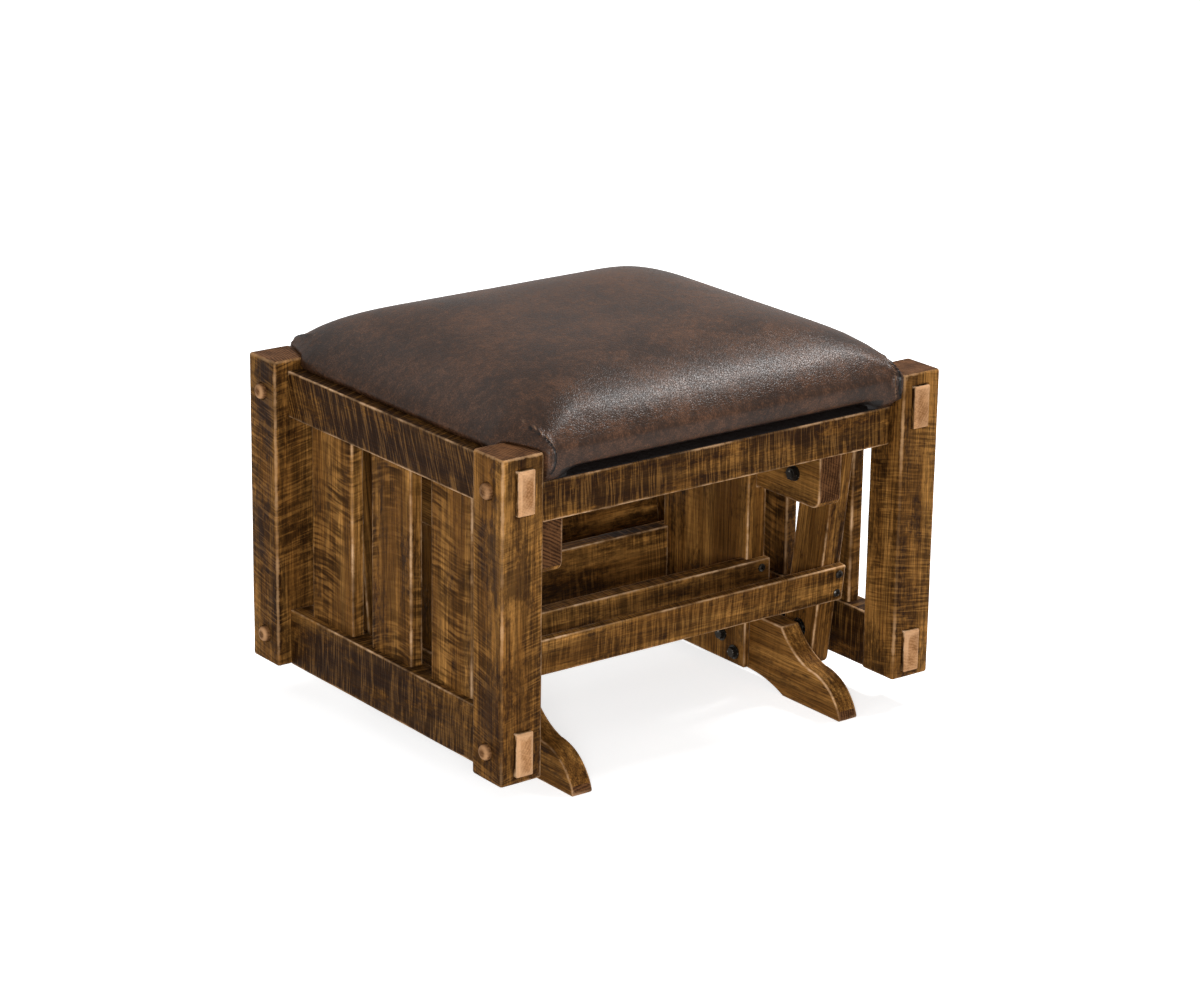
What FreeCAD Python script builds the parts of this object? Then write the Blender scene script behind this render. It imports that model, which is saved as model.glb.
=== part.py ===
import FreeCAD, Part
import math
import os

# Glider ottoman, in millimetres. X runs across, the front faces -Y, and Z is up from the floor.
# The moving seat frame hangs on four slanted arms from a standing base with two sled feet.

# Seat frame posts
frame_width = 564.0
frame_depth = 460.0
post_size = 50.0
post_height = 340.0
floor_gap = 34.0
post_chamfer = 3.0

# Side panel rails and their through tenons
rail_thick = 28.0
rail_inset = 17.0
top_rail_height = 50.0
top_rail_drop = 12.0
bottom_rail_height = 62.0
tenon_thick = 20.0
tenon_height = 46.0
tenon_proud = 5.5
tenon_chamfer = 2.2

# Pegs that lock the tenons
peg_diameter = 17.0
peg_depth = 42.0
peg_proud = 6.0
peg_bevel = 2.0

# Slats
slat_names = ("front", "middle", "back")
slat_width = 72.0
slat_thick = 15.0
slat_inset = 25.0
slat_housing = 10.0

# Seat rails, cleats and board
seat_rail_thick = 25.0
seat_rail_height = 41.5
seat_rail_drop = 37.5
seat_rail_setback = 17.5
seat_tenon_thick = 12.0
seat_tenon_shoulder = 9.0
tenon_wall = 1.0
seat_rail_round = 5.0
cleat_size = 20.0
cleat_end_gap = 2.0
cleat_screw_spacing = 126.0
cleat_screw_drop = 7.0
board_lift = 2.0
board_thick = 12.0
board_margin = 9.0
board_front_setback = 15.0

# Cushion
cushion_front_setback = 1.5
cushion_side_bulge = 16.0
cushion_crown = 54.0
cushion_corner_length = 62.0
cushion_corner_bow = 2.5
cushion_pleat_radius = 5.0
cushion_corner_growth = 60.0
cushion_tuck = 4.0
cushion_levels = (0.0, 0.15, 0.32, 0.5, 0.67, 0.81, 0.92, 0.98)

# Feet
foot_thick = 25.0
foot_length = 450.0
foot_height = 78.0
foot_flat = 249.0
toe_pad = 95.0
toe_nose = 2.0
toe_hollow = ((21.5, 0.72), (47.5, 0.56))
toe_crown = (18.0, 0.38)
arch_ends = ((22.0, 0.52), (56.0, 0.85))
arch_height = 16.0

# Uprights and the rails that the arms hang from
upright_thick = 25.0
upright_width = 146.0
tongue_thick = 8.0
hanger_lap = 13.0
hanger_thick = 30.0
hanger_height = 62.0
hanger_length = 350.0
hanger_round = 12.0

# Stretchers between the uprights
stretcher_thick = 10.0
stretcher_height = 41.0
stretcher_bottom = 101.0

# Swing linkage
upper_pivot_y = 134.0
lower_pivot_y = 110.0
upper_pivot_z = 254.0
arm_width = 50.0
arm_thick = 25.0
arm_end = 38.0
arm_round = 10.0
arm_hanger_gap = 3.5
arm_rail_gap = 10.5
cross_board_thick = 10.0
cross_board_height = 41.0
cross_board_drop = 126.0

# Pivot hardware
pivot_diameter = 8.0
bearing_diameter = 22.0
collar_diameter = 13.0
collar_proud = 1.2
washer_diameter = 17.0
washer_thick = 1.6
pivot_nut_width = 13.0
pivot_nut_thick = 5.0
bolt_head_thick = 3.0
bolt_head_bevel = 1.2
bolt_tip = 1.2
stud_depth = 20.0
spacer_diameter = 14.0

# Screws and small bolts
screw_diameter = 4.0
screw_head = 9.0
screw_head_thick = 2.4
screw_head_bevel = 1.2
screw_length = 30.0
screw_spacing = 22.0
arm_screw_end = 9.0
upright_screw_end = 12.0
frame_bolt_diameter = 6.0
frame_bolt_head = 10.0
frame_bolt_washer = 16.0
frame_bolt_head_thick = 4.0
frame_bolt_length = 27.0
foot_bolt_spots = ((34.0, 29.0), (56.0, 14.0))
hanger_bolt_y = 48.0

# Fits
joint_clearance = 0.1
running_clearance = 0.06
open_pivot_clearance = 1.45
side_play = 0.3
soft_gap = 0.3

# Places that follow from the sizes
half_width = frame_width / 2
half_depth = frame_depth / 2
post_top = floor_gap + post_height
post_inner = half_width - post_size
post_back = half_depth - post_size
rail_outer = half_width - rail_inset
rail_inner = rail_outer - rail_thick
top_rail_top = post_top - top_rail_drop
top_rail_bottom = top_rail_top - top_rail_height
bottom_rail_top = floor_gap + bottom_rail_height
top_rail_mid = top_rail_top - top_rail_height / 2
bottom_rail_mid = floor_gap + bottom_rail_height / 2
rail_mids = (bottom_rail_mid, top_rail_mid)
seat_rail_top = post_top - seat_rail_drop
seat_rail_bottom = seat_rail_top - seat_rail_height
seat_rail_face = half_depth - seat_rail_setback
board_bottom = seat_rail_top + board_lift
board_top = board_bottom + board_thick
board_half_width = rail_inner - board_margin
board_half_depth = half_depth - board_front_setback
cushion_half_width = rail_inner + cushion_side_bulge
cushion_half_depth = half_depth - cushion_front_setback
arm_outer = rail_inner - arm_rail_gap
arm_inner = arm_outer - arm_thick
hanger_outer = arm_inner - arm_hanger_gap
hanger_inner = hanger_outer - hanger_thick
hanger_bottom = upper_pivot_z - hanger_height / 2
hanger_top = hanger_bottom + hanger_height
upright_outer = hanger_inner + hanger_lap
upright_inner = upright_outer - upright_thick
upright_half = upright_width / 2
foot_inner = upright_inner + tongue_thick
foot_outer = foot_inner + foot_thick
lower_pivot_z = bottom_rail_mid
arm_slant = math.atan2(upper_pivot_y - lower_pivot_y, upper_pivot_z - lower_pivot_z)
arm_span = math.hypot(upper_pivot_y - lower_pivot_y, upper_pivot_z - lower_pivot_z)
bearing_inner = arm_inner - collar_proud
bearing_outer = arm_outer + collar_proud
upper_nut_face = hanger_inner - washer_thick
upper_bolt_end = upper_nut_face - pivot_nut_thick - bolt_tip
lower_washer_face = bearing_inner - side_play
lower_nut_face = lower_washer_face - washer_thick
lower_stud_end = lower_nut_face - pivot_nut_thick - bolt_tip
SIDES = (("left", -1), ("right", 1))
ENDS = (("front", -1), ("back", 1))


def block(x0, x1, y0, y1, z0, z1):
    """A rectangular piece between two opposite corners."""
    low = FreeCAD.Vector(min(x0, x1), min(y0, y1), min(z0, z1))
    return Part.makeBox(abs(x1 - x0), abs(y1 - y0), abs(z1 - z0), low)


def rod(diameter, x0, x1, y, z):
    """A round bar along X."""
    start = FreeCAD.Vector(min(x0, x1), y, z)
    return Part.makeCylinder(diameter / 2, abs(x1 - x0), start, FreeCAD.Vector(1, 0, 0))


def hex_bar(width, x0, x1, y, z):
    """A six-sided bar along X, measured across its flats."""
    radius = width / math.sqrt(3)
    corners = []
    for step in range(7):
        turn = math.radians(60 * step)
        corners.append(FreeCAD.Vector(min(x0, x1), y + radius * math.cos(turn), z + radius * math.sin(turn)))
    face = Part.Face(Part.makePolygon(corners))
    return face.extrude(FreeCAD.Vector(abs(x1 - x0), 0, 0))


def edges_in_plane(shape, axis, value):
    """The edges that lie wholly in the plane where one coordinate has a value."""
    found = []
    for edge in shape.Edges:
        low = getattr(edge.BoundBox, axis + "Min")
        high = getattr(edge.BoundBox, axis + "Max")
        if abs(low - value) < 0.01 and abs(high - value) < 0.01:
            found.append(edge)
    return found


def profile_x(edges, x0, x1):
    """A board cut to an outline in the YZ plane, between two X faces."""
    board = Part.Face(Part.Wire(edges)).extrude(FreeCAD.Vector(abs(x1 - x0), 0, 0))
    board.translate(FreeCAD.Vector(min(x0, x1), 0, 0))
    return board


def yz(y, z):
    """A point of an outline in the YZ plane."""
    return FreeCAD.Vector(0, y, z)


def line(start, end):
    return Part.LineSegment(start, end).toShape()


def arc(start, middle, end):
    return Part.Arc(start, middle, end).toShape()


def post(side, end):
    """A square post with its tenon mortises, peg holes and the seat rail's blind mortise."""
    x0 = side * post_inner
    x1 = side * half_width
    y0 = end * post_back
    y1 = end * half_depth
    shape = block(x0, x1, y0, y1, floor_gap, post_top)
    rims = edges_in_plane(shape, "Z", post_top) + edges_in_plane(shape, "Z", floor_gap)
    shape = shape.makeChamfer(post_chamfer, rims)
    for mid in rail_mids:
        shape = shape.cut(tenon_stick(side, mid, joint_clearance))
        shape = shape.cut(peg_bar(side, end, mid, joint_clearance))
    return shape.cut(seat_tenon(side, end, joint_clearance))


def tenon_stick(side, mid, clearance):
    """The bar of a rail's two through tenons, flush with the rail's outer face."""
    reach = half_depth + tenon_proud
    x0 = side * (rail_outer - tenon_thick - clearance)
    x1 = side * (rail_outer + clearance)
    half = tenon_height / 2 + clearance
    return block(x0, x1, -reach, reach, mid - half, mid + half)


def peg_bar(side, end, mid, clearance):
    """The room that a peg takes, from the post's outer face inwards."""
    y = end * (half_depth - post_size / 2)
    return rod(peg_diameter + 2 * clearance, side * (half_width + peg_proud),
               side * (half_width - peg_depth - clearance), y, mid)


def pegs(side):
    """Four round pegs with bevelled rims."""
    bars = []
    for mid in rail_mids:
        for name, end in ENDS:
            peg = peg_bar(side, end, mid, 0)
            rim = edges_in_plane(peg, "X", side * (half_width + peg_proud))
            bars.append(peg.makeChamfer(peg_bevel, rim))
    return Part.makeCompound(bars)


def side_rail(side, mid, height):
    """A side rail with a through tenon at each end, locked by two pegs."""
    stick = tenon_stick(side, mid, 0)
    reach = half_depth + tenon_proud
    tips = edges_in_plane(stick, "Y", reach) + edges_in_plane(stick, "Y", -reach)
    stick = stick.makeChamfer(tenon_chamfer, tips)
    body = block(side * rail_inner, side * rail_outer, -post_back, post_back, mid - height / 2, mid + height / 2)
    shape = body.fuse(stick).removeSplitter()
    for name, end in ENDS:
        shape = shape.cut(peg_bar(side, end, mid, joint_clearance))
    for place in slat_places():
        shape = shape.cut(slat(side, place, joint_clearance))
    return shape


def top_rail(side):
    """The upper side rail, with pilot holes for the cleat's screws."""
    shape = side_rail(side, top_rail_mid, top_rail_height)
    for y in cleat_screw_places():
        shape = shape.cut(cleat_screw(side, y, joint_clearance))
    return shape


def bottom_rail(side):
    """The lower side rail, drilled from inside for the two lower pivot studs."""
    shape = side_rail(side, bottom_rail_mid, bottom_rail_height)
    for name, end in ENDS:
        hole = rod(pivot_diameter + 2 * joint_clearance, side * (rail_inner + stud_depth + joint_clearance),
                   side * rail_inner, end * lower_pivot_y, lower_pivot_z)
        shape = shape.cut(hole)
    return shape


def slat_places():
    """Middle of each slat, spread evenly between the posts."""
    gap = (2 * post_back - len(slat_names) * slat_width) / (len(slat_names) + 1)
    return [-post_back + gap + slat_width / 2 + step * (gap + slat_width) for step in range(len(slat_names))]


def slat(side, place, clearance):
    """A flat slat let into housings in both side rails."""
    x0 = side * (half_width - slat_inset + clearance)
    x1 = side * (half_width - slat_inset - slat_thick - clearance)
    half = slat_width / 2 + clearance
    low = bottom_rail_top - slat_housing - clearance
    high = top_rail_bottom + slat_housing + clearance
    return block(x0, x1, place - half, place + half, low, high)


def seat_tenon(side, end, clearance):
    """The blind tenon that joins a seat rail to a post."""
    middle = end * (seat_rail_face - seat_rail_thick / 2)
    half = seat_tenon_thick / 2 + clearance
    low = seat_rail_bottom + seat_tenon_shoulder - clearance
    high = top_rail_mid - peg_diameter / 2 - tenon_wall + clearance
    tip = rail_outer - tenon_thick - tenon_wall + clearance
    return block(side * (post_inner - 1), side * tip, middle - half, middle + half, low, high)


def seat_rail(end):
    """A seat rail between two posts, with eased ends and a blind tenon at each."""
    y0 = end * seat_rail_face
    y1 = end * (seat_rail_face - seat_rail_thick)
    shape = block(-post_inner, post_inner, y0, y1, seat_rail_bottom, seat_rail_top)
    corners = []
    for name, side in SIDES:
        for edge in edges_in_plane(shape, "X", side * post_inner):
            if abs(edge.BoundBox.YMin - y0) < 0.01 and abs(edge.BoundBox.YMax - y0) < 0.01:
                corners.append(edge)
    shape = shape.makeFillet(seat_rail_round, corners)
    for name, side in SIDES:
        shape = shape.fuse(seat_tenon(side, end, 0))
    return shape.removeSplitter()


def cleat_screw_places():
    return [step * cleat_screw_spacing for step in (-1, 0, 1)]


def cleat(side):
    """A strip on the top rail's inner face that carries the seat board."""
    shape = block(side * rail_inner, side * (rail_inner - cleat_size), cleat_end_gap - post_back,
                  post_back - cleat_end_gap, board_bottom - cleat_size, board_bottom)
    for y in cleat_screw_places():
        shape = shape.cut(cleat_screw(side, y, joint_clearance))
    return shape


def cleat_screw(side, y, clearance):
    """A screw through a cleat into the top rail."""
    face = rail_inner - cleat_size
    z = board_bottom - cleat_screw_drop
    return screw(side * face, side, y, z, screw_length, clearance)


def screw(face, way, y, z, length, clearance):
    """A round-head screw along X: its head stands on a face and its shank runs the given way."""
    shank = rod(screw_diameter + 2 * clearance, face, face + way * (length + clearance), y, z)
    if clearance:
        return shank
    head = rod(screw_head, face, face - way * screw_head_thick, y, z)
    rim = edges_in_plane(head, "X", face - way * screw_head_thick)
    return head.makeChamfer(screw_head_bevel, rim).fuse(shank)


def cleat_screws():
    return Part.makeCompound([cleat_screw(side, y, 0) for name, side in SIDES for y in cleat_screw_places()])


def seat_board():
    """The plywood board under the cushion, lying on the two cleats."""
    return block(-board_half_width, board_half_width, -board_half_depth, board_half_depth, board_bottom, board_top)


def cushion_outline(share, growth, z):
    """The cushion's outline: its tight pleated corners at the posts grow rounder towards the crown."""
    pleat = cushion_pleat_radius + growth
    bend = pleat * (1 - math.sqrt(0.5))
    start = (cushion_half_width, cushion_half_depth - cushion_corner_length - growth / 2)
    turn = (post_inner, cushion_half_depth - pleat)
    bow = ((start[0] + turn[0]) / 2 + cushion_corner_bow, (start[1] + turn[1]) / 2 + cushion_corner_bow / 3)
    nook = (turn[0] - bend, cushion_half_depth - bend)
    stop = (turn[0] - pleat, cushion_half_depth)
    corner = [start, bow, turn, nook, stop]
    wire = []
    last = None
    for sx, sy in ((1, 1), (-1, 1), (-1, -1), (1, -1)):
        places = [FreeCAD.Vector(sx * x * share, sy * y * share, z) for x, y in corner]
        if sx * sy < 0:
            places.reverse()
        if last:
            wire.append(line(last, places[0]))
        wire.append(arc(*places[:3]))
        wire.append(arc(*places[2:]))
        last = places[4]
    wire.append(line(last, FreeCAD.Vector(start[0] * share, start[1] * share, z)))
    return Part.Wire(wire)


def cushion_crown_form():
    """The padded top: sides that draw in and a crown that rises to the middle."""
    outlines = []
    for level in cushion_levels:
        share = (1 - level ** 1.3) ** 0.25
        growth = cushion_corner_growth * level
        outlines.append(cushion_outline(share, growth, post_top + soft_gap + cushion_crown * level))
    return Part.makeLoft(outlines, True, True)


def cushion_lower_form(low, tuck, half_x, half_y):
    """Padding below the crown, drawn in at its lower edge and cut off at what it lies between."""
    share = 1 - tuck / cushion_half_depth
    form = Part.makeLoft([cushion_outline(share, 0, low), cushion_outline(1, 0, post_top + soft_gap)], True, True)
    return form.common(block(-half_x, half_x, -half_y, half_y, low - 1, post_top + 1))


def cushion():
    """Padding and cover round the seat board, bulging over the side rails and post tops."""
    between_posts = post_inner - soft_gap
    core = cushion_lower_form(board_bottom + soft_gap, cushion_tuck, between_posts, half_depth)
    rolls = cushion_lower_form(top_rail_top + soft_gap, cushion_tuck / 2, half_width, post_back - soft_gap)
    pocket = block(-board_half_width - soft_gap, board_half_width + soft_gap, -board_half_depth - soft_gap,
                   board_half_depth + soft_gap, board_bottom - 1, board_top)
    return cushion_crown_form().fuse([core, rolls]).cut(pocket)


def foot(side):
    """A sled foot: an arched board whose toes sweep down in an S curve."""
    flat = foot_flat / 2
    tip = foot_length / 2
    pad = tip - toe_pad
    hollow = [yz(-flat, foot_height)] + [yz(-flat - out, foot_height * share) for out, share in toe_hollow]
    toe = [hollow[2], yz(-tip + toe_crown[0], foot_height * toe_crown[1]), yz(-tip, toe_nose)]
    nose = yz(-tip + toe_nose, 0)
    arch = [yz(-pad, 0)] + [yz(-pad + run, arch_height * share) for run, share in arch_ends]
    edges = [line(mirrored(hollow[0]), hollow[0]), arc(*hollow), arc(*toe), line(toe[2], nose)]
    edges += [line(nose, arch[0]), arc(*arch), arc(arch[2], yz(0, arch_height), mirrored(arch[2]))]
    edges += [mirrored_arc(arch), line(mirrored(arch[0]), mirrored(nose)), line(mirrored(nose), mirrored(toe[2]))]
    edges += [mirrored_arc(toe), mirrored_arc(hollow)]
    shape = profile_x(edges, side * foot_inner, side * foot_outer)
    for y, z in foot_bolt_places():
        shape = shape.cut(frame_bolt(side, y, z, joint_clearance))
    return shape


def mirrored(point):
    """The same outline point on the other end of a board."""
    return yz(-point.y, point.z)


def mirrored_arc(points):
    return arc(*[mirrored(point) for point in reversed(points)])


def foot_bolt_places():
    """Bolts from each upright's tongue into its foot, measured up from the arch."""
    return [(end * y, arch_height + z) for name, end in ENDS for y, z in foot_bolt_spots]


def hanger_bolt_places():
    return [(end * hanger_bolt_y, upper_pivot_z) for name, end in ENDS]


def frame_bolt(side, y, z, clearance):
    """A bolt along X whose head and washer bear on an upright's inner face."""
    tip = upright_inner + frame_bolt_length + clearance
    shank = rod(frame_bolt_diameter + 2 * clearance, side * upright_inner, side * tip, y, z)
    if clearance:
        return shank
    washer = rod(frame_bolt_washer, side * upright_inner, side * (upright_inner - washer_thick), y, z)
    bearing = upright_inner - washer_thick
    head = hex_bar(frame_bolt_head, side * bearing, side * (bearing - frame_bolt_head_thick), y, z)
    return shank.fuse([washer, head]).removeSplitter()


def frame_bolts(side, places):
    return Part.makeCompound([frame_bolt(side, y, z, 0) for y, z in places])


def upright(side):
    """A wide upright: a tongue laps the foot below and a notch carries the hanger rail above."""
    steps = [
        (upright_inner, arch_height), (foot_inner, arch_height), (foot_inner, foot_height),
        (upright_outer, foot_height), (upright_outer, hanger_bottom), (hanger_inner, hanger_bottom),
        (hanger_inner, hanger_top), (upright_inner, hanger_top), (upright_inner, arch_height),
    ]
    outline = Part.makePolygon([FreeCAD.Vector(side * x, -upright_half, z) for x, z in steps])
    shape = Part.Face(outline).extrude(FreeCAD.Vector(0, upright_width, 0))
    for y, z in foot_bolt_places() + hanger_bolt_places():
        shape = shape.cut(frame_bolt(side, y, z, joint_clearance))
    for name, end in ENDS:
        for z in stretcher_screw_heights():
            shape = shape.cut(stretcher_screw(side, end, z, joint_clearance))
    return shape


def hanger_rail(side):
    """The rail that the arms hang from, with its lower end corners rounded off."""
    reach = hanger_length / 2
    shape = block(side * hanger_inner, side * hanger_outer, -reach, reach, hanger_bottom, hanger_top)
    corners = []
    for edge in edges_in_plane(shape, "Z", hanger_bottom):
        if edge.BoundBox.XLength > 1:
            corners.append(edge)
    shape = shape.makeFillet(hanger_round, corners)
    for name, end in ENDS:
        hole = rod(pivot_diameter + 2 * joint_clearance, side * hanger_inner, side * hanger_outer,
                   end * upper_pivot_y, upper_pivot_z)
        shape = shape.cut(hole)
    for y, z in hanger_bolt_places():
        shape = shape.cut(frame_bolt(side, y, z, joint_clearance))
    return shape


def stretcher_screw_heights():
    middle = stretcher_bottom + stretcher_height / 2
    return [middle - screw_spacing / 2, middle + screw_spacing / 2]


def screw_y(x, z, face, way, length, clearance):
    """A round-head screw along Y: its head stands on a face and its shank runs the given way."""
    turned = screw(0, 1, 0, 0, length, clearance)
    turned.rotate(FreeCAD.Vector(0, 0, 0), FreeCAD.Vector(0, 0, 1), 90 * way)
    turned.translate(FreeCAD.Vector(x, face, z))
    return turned


def stretcher_screw(side, end, z, clearance):
    face = end * (upright_half + stretcher_thick)
    return screw_y(side * (upright_outer - upright_screw_end), z, face, -end, screw_length, clearance)


def stretcher(end):
    """A thin board across both uprights' edges."""
    y0 = end * upright_half
    y1 = end * (upright_half + stretcher_thick)
    shape = block(-upright_outer, upright_outer, y0, y1, stretcher_bottom, stretcher_bottom + stretcher_height)
    for name, side in SIDES:
        for z in stretcher_screw_heights():
            shape = shape.cut(stretcher_screw(side, end, z, joint_clearance))
    return shape


def stretcher_screws():
    screws = []
    for name, end in ENDS:
        for label, side in SIDES:
            screws += [stretcher_screw(side, end, z, 0) for z in stretcher_screw_heights()]
    return Part.makeCompound(screws)


def slanted(shape, end):
    """Turns a piece drawn below its upper pivot, plumb, to the arms' slant and puts it in place."""
    shape.rotate(FreeCAD.Vector(0, 0, 0), FreeCAD.Vector(1, 0, 0), -end * math.degrees(arm_slant))
    shape.translate(FreeCAD.Vector(0, end * upper_pivot_y, upper_pivot_z))
    return shape


def arm(side, end):
    """A swing arm with rounded corners, a bearing hole at each end and screw holes in its edge."""
    half = arm_width / 2
    shape = block(side * arm_inner, side * arm_outer, -half, half, -arm_span - arm_end, arm_end)
    corners = edges_in_plane(shape, "Z", arm_end) + edges_in_plane(shape, "Z", -arm_span - arm_end)
    shape = shape.makeFillet(arm_round, [edge for edge in corners if edge.BoundBox.XLength > 1])
    for z in (0, -arm_span):
        hole = rod(bearing_diameter + 2 * joint_clearance, side * arm_inner, side * arm_outer, 0, z)
        shape = shape.cut(hole)
    for z in cross_screw_heights():
        shape = shape.cut(cross_screw(side, end, z, joint_clearance))
    return slanted(shape, end)


def cross_screw_heights():
    return [-cross_board_drop - screw_spacing / 2, -cross_board_drop + screw_spacing / 2]


def cross_screw(side, end, z, clearance):
    face = end * (arm_width / 2 + cross_board_thick)
    return screw_y(side * (arm_outer - arm_screw_end), z, face, -end, screw_length, clearance)


def cross_board(end):
    """The thin board that ties a left and a right arm together."""
    y0 = end * arm_width / 2
    y1 = end * (arm_width / 2 + cross_board_thick)
    half = cross_board_height / 2
    shape = block(-arm_outer, arm_outer, y0, y1, -cross_board_drop - half, -cross_board_drop + half)
    for name, side in SIDES:
        for z in cross_screw_heights():
            shape = shape.cut(cross_screw(side, end, z, joint_clearance))
    return slanted(shape, end)


def cross_screws(end):
    screws = [cross_screw(side, end, z, 0) for name, side in SIDES for z in cross_screw_heights()]
    return slanted(Part.makeCompound(screws), end)


def bearing(side, y, z, clearance):
    """A bearing pressed into an arm, its inner collar proud on both faces."""
    body = rod(bearing_diameter, side * arm_inner, side * arm_outer, y, z)
    collar = rod(collar_diameter, side * bearing_inner, side * bearing_outer, y, z)
    bore = rod(pivot_diameter + 2 * clearance, side * bearing_inner, side * bearing_outer, y, z)
    return body.fuse(collar).cut(bore)


def bearings(end):
    """Two upper and two lower bearings: the lower ones at the back have the open pivot's wide bore."""
    lower_clearance = open_pivot_clearance if end > 0 else running_clearance
    rings = []
    for name, side in SIDES:
        rings.append(bearing(side, end * upper_pivot_y, upper_pivot_z, running_clearance))
        rings.append(bearing(side, end * lower_pivot_y, lower_pivot_z, lower_clearance))
    return Part.makeCompound(rings)


def ring(outer, x0, x1, y, z):
    """A washer or spacer on a pivot."""
    return rod(outer, x0, x1, y, z).cut(rod(pivot_diameter + 2 * joint_clearance, x0, x1, y, z))


def pivots(y, z, make):
    """One piece for each of the four pivots at a height."""
    return Part.makeCompound([make(side, end * y, z) for name, side in SIDES for label, end in ENDS])


def upper_bolt(side, y, z):
    """A pivot bolt: its low head passes between arm and post, its thread ends inside the hanger rail."""
    head_top = bearing_outer + side_play + bolt_head_thick
    head = rod(washer_diameter, side * (bearing_outer + side_play), side * head_top, y, z)
    head = head.makeChamfer(bolt_head_bevel, edges_in_plane(head, "X", side * head_top))
    return head.fuse(rod(pivot_diameter, side * (bearing_outer + side_play), side * upper_bolt_end, y, z))


def upper_nut_washer(side, y, z):
    return ring(washer_diameter, side * upper_nut_face, side * hanger_inner, y, z)


def upper_rail_washer(side, y, z):
    return ring(washer_diameter, side * hanger_outer, side * (bearing_inner - side_play), y, z)


def upper_nut(side, y, z):
    nut = hex_bar(pivot_nut_width, side * (upper_nut_face - pivot_nut_thick), side * upper_nut_face, y, z)
    return nut.cut(rod(pivot_diameter, side * upper_bolt_end, side * upper_nut_face, y, z))


def lower_stud(side, y, z):
    """A stud set in the bottom rail, on which an arm's lower bearing turns."""
    return rod(pivot_diameter, side * lower_stud_end, side * (rail_inner + stud_depth), y, z)


def lower_spacer(side, y, z):
    return ring(spacer_diameter, side * (bearing_outer + side_play), side * rail_inner, y, z)


def lower_washer(side, y, z):
    return ring(washer_diameter, side * lower_nut_face, side * lower_washer_face, y, z)


def lower_nut(side, y, z):
    nut = hex_bar(pivot_nut_width, side * (lower_nut_face - pivot_nut_thick), side * lower_nut_face, y, z)
    return nut.cut(rod(pivot_diameter, side * lower_stud_end, side * lower_nut_face, y, z))


def upper_washers():
    shapes = []
    for make in (upper_nut_washer, upper_rail_washer):
        shapes.append(pivots(upper_pivot_y, upper_pivot_z, make))
    return Part.makeCompound([solid for shape in shapes for solid in shape.Solids])


def pieces():
    """Every piece of the ottoman under its name."""
    found = {
        "seat_board": seat_board(),
        "cushion": cushion(),
        "cleat_screws": cleat_screws(),
        "stretcher_screws": stretcher_screws(),
        "upper_pivot_bolts": pivots(upper_pivot_y, upper_pivot_z, upper_bolt),
        "upper_pivot_washers": upper_washers(),
        "upper_pivot_nuts": pivots(upper_pivot_y, upper_pivot_z, upper_nut),
        "lower_pivot_studs": pivots(lower_pivot_y, lower_pivot_z, lower_stud),
        "lower_pivot_spacers": pivots(lower_pivot_y, lower_pivot_z, lower_spacer),
        "lower_pivot_washers": pivots(lower_pivot_y, lower_pivot_z, lower_washer),
        "lower_pivot_nuts": pivots(lower_pivot_y, lower_pivot_z, lower_nut),
    }
    for name, side in SIDES:
        found[name + "_top_rail"] = top_rail(side)
        found[name + "_bottom_rail"] = bottom_rail(side)
        found[name + "_pegs"] = pegs(side)
        found[name + "_seat_cleat"] = cleat(side)
        found[name + "_foot"] = foot(side)
        found[name + "_upright"] = upright(side)
        found[name + "_hanger_rail"] = hanger_rail(side)
        found[name + "_foot_bolts"] = frame_bolts(side, foot_bolt_places())
        found[name + "_hanger_bolts"] = frame_bolts(side, hanger_bolt_places())
        for label, place in zip(slat_names, slat_places()):
            found[name + "_" + label + "_slat"] = slat(side, place, 0)
        for label, end in ENDS:
            found[name + "_" + label + "_post"] = post(side, end)
            found[name + "_" + label + "_arm"] = arm(side, end)
    for label, end in ENDS:
        found[label + "_seat_rail"] = seat_rail(end)
        found[label + "_stretcher"] = stretcher(end)
        found[label + "_cross_board"] = cross_board(end)
        found[label + "_cross_screws"] = cross_screws(end)
        found[label + "_arm_bearings"] = bearings(end)
    return found


os.makedirs("parts", exist_ok=True)
for piece_name, piece_shape in pieces().items():
    piece_shape.exportStep("parts/" + piece_name + ".step")
    print(piece_name, len(piece_shape.Solids), piece_shape.isValid(), round(piece_shape.Volume / 1000, 1))
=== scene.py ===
import bisect
import math
import random

import bmesh
import bpy
from mathutils import Matrix, Vector, noise
from mathutils.kdtree import KDTree

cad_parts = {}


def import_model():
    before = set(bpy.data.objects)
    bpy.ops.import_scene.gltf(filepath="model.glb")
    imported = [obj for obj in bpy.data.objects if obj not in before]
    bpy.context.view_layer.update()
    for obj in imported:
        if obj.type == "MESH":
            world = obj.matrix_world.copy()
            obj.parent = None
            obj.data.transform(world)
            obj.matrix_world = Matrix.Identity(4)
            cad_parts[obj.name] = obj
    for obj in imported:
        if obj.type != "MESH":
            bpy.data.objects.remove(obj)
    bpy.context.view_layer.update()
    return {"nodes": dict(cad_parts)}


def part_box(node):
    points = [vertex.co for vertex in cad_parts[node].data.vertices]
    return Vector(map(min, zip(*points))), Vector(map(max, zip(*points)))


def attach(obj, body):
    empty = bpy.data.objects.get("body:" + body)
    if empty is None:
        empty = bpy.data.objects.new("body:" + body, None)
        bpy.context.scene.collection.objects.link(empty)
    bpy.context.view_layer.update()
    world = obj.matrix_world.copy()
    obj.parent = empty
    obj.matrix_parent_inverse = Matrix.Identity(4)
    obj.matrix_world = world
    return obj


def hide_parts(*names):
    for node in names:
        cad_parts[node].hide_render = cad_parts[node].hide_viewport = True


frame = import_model()

# Glider ottoman, in metres: rough-sawn, stained boards, a leather cushion and small steel fasteners.
SIDES = (("left", -1), ("right", 1))
ENDS = (("front", -1), ("back", 1))
X, Y, Z = (1, 0, 0), (0, 1, 0), (0, 0, 1)
TURN = 2 * math.pi

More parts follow.
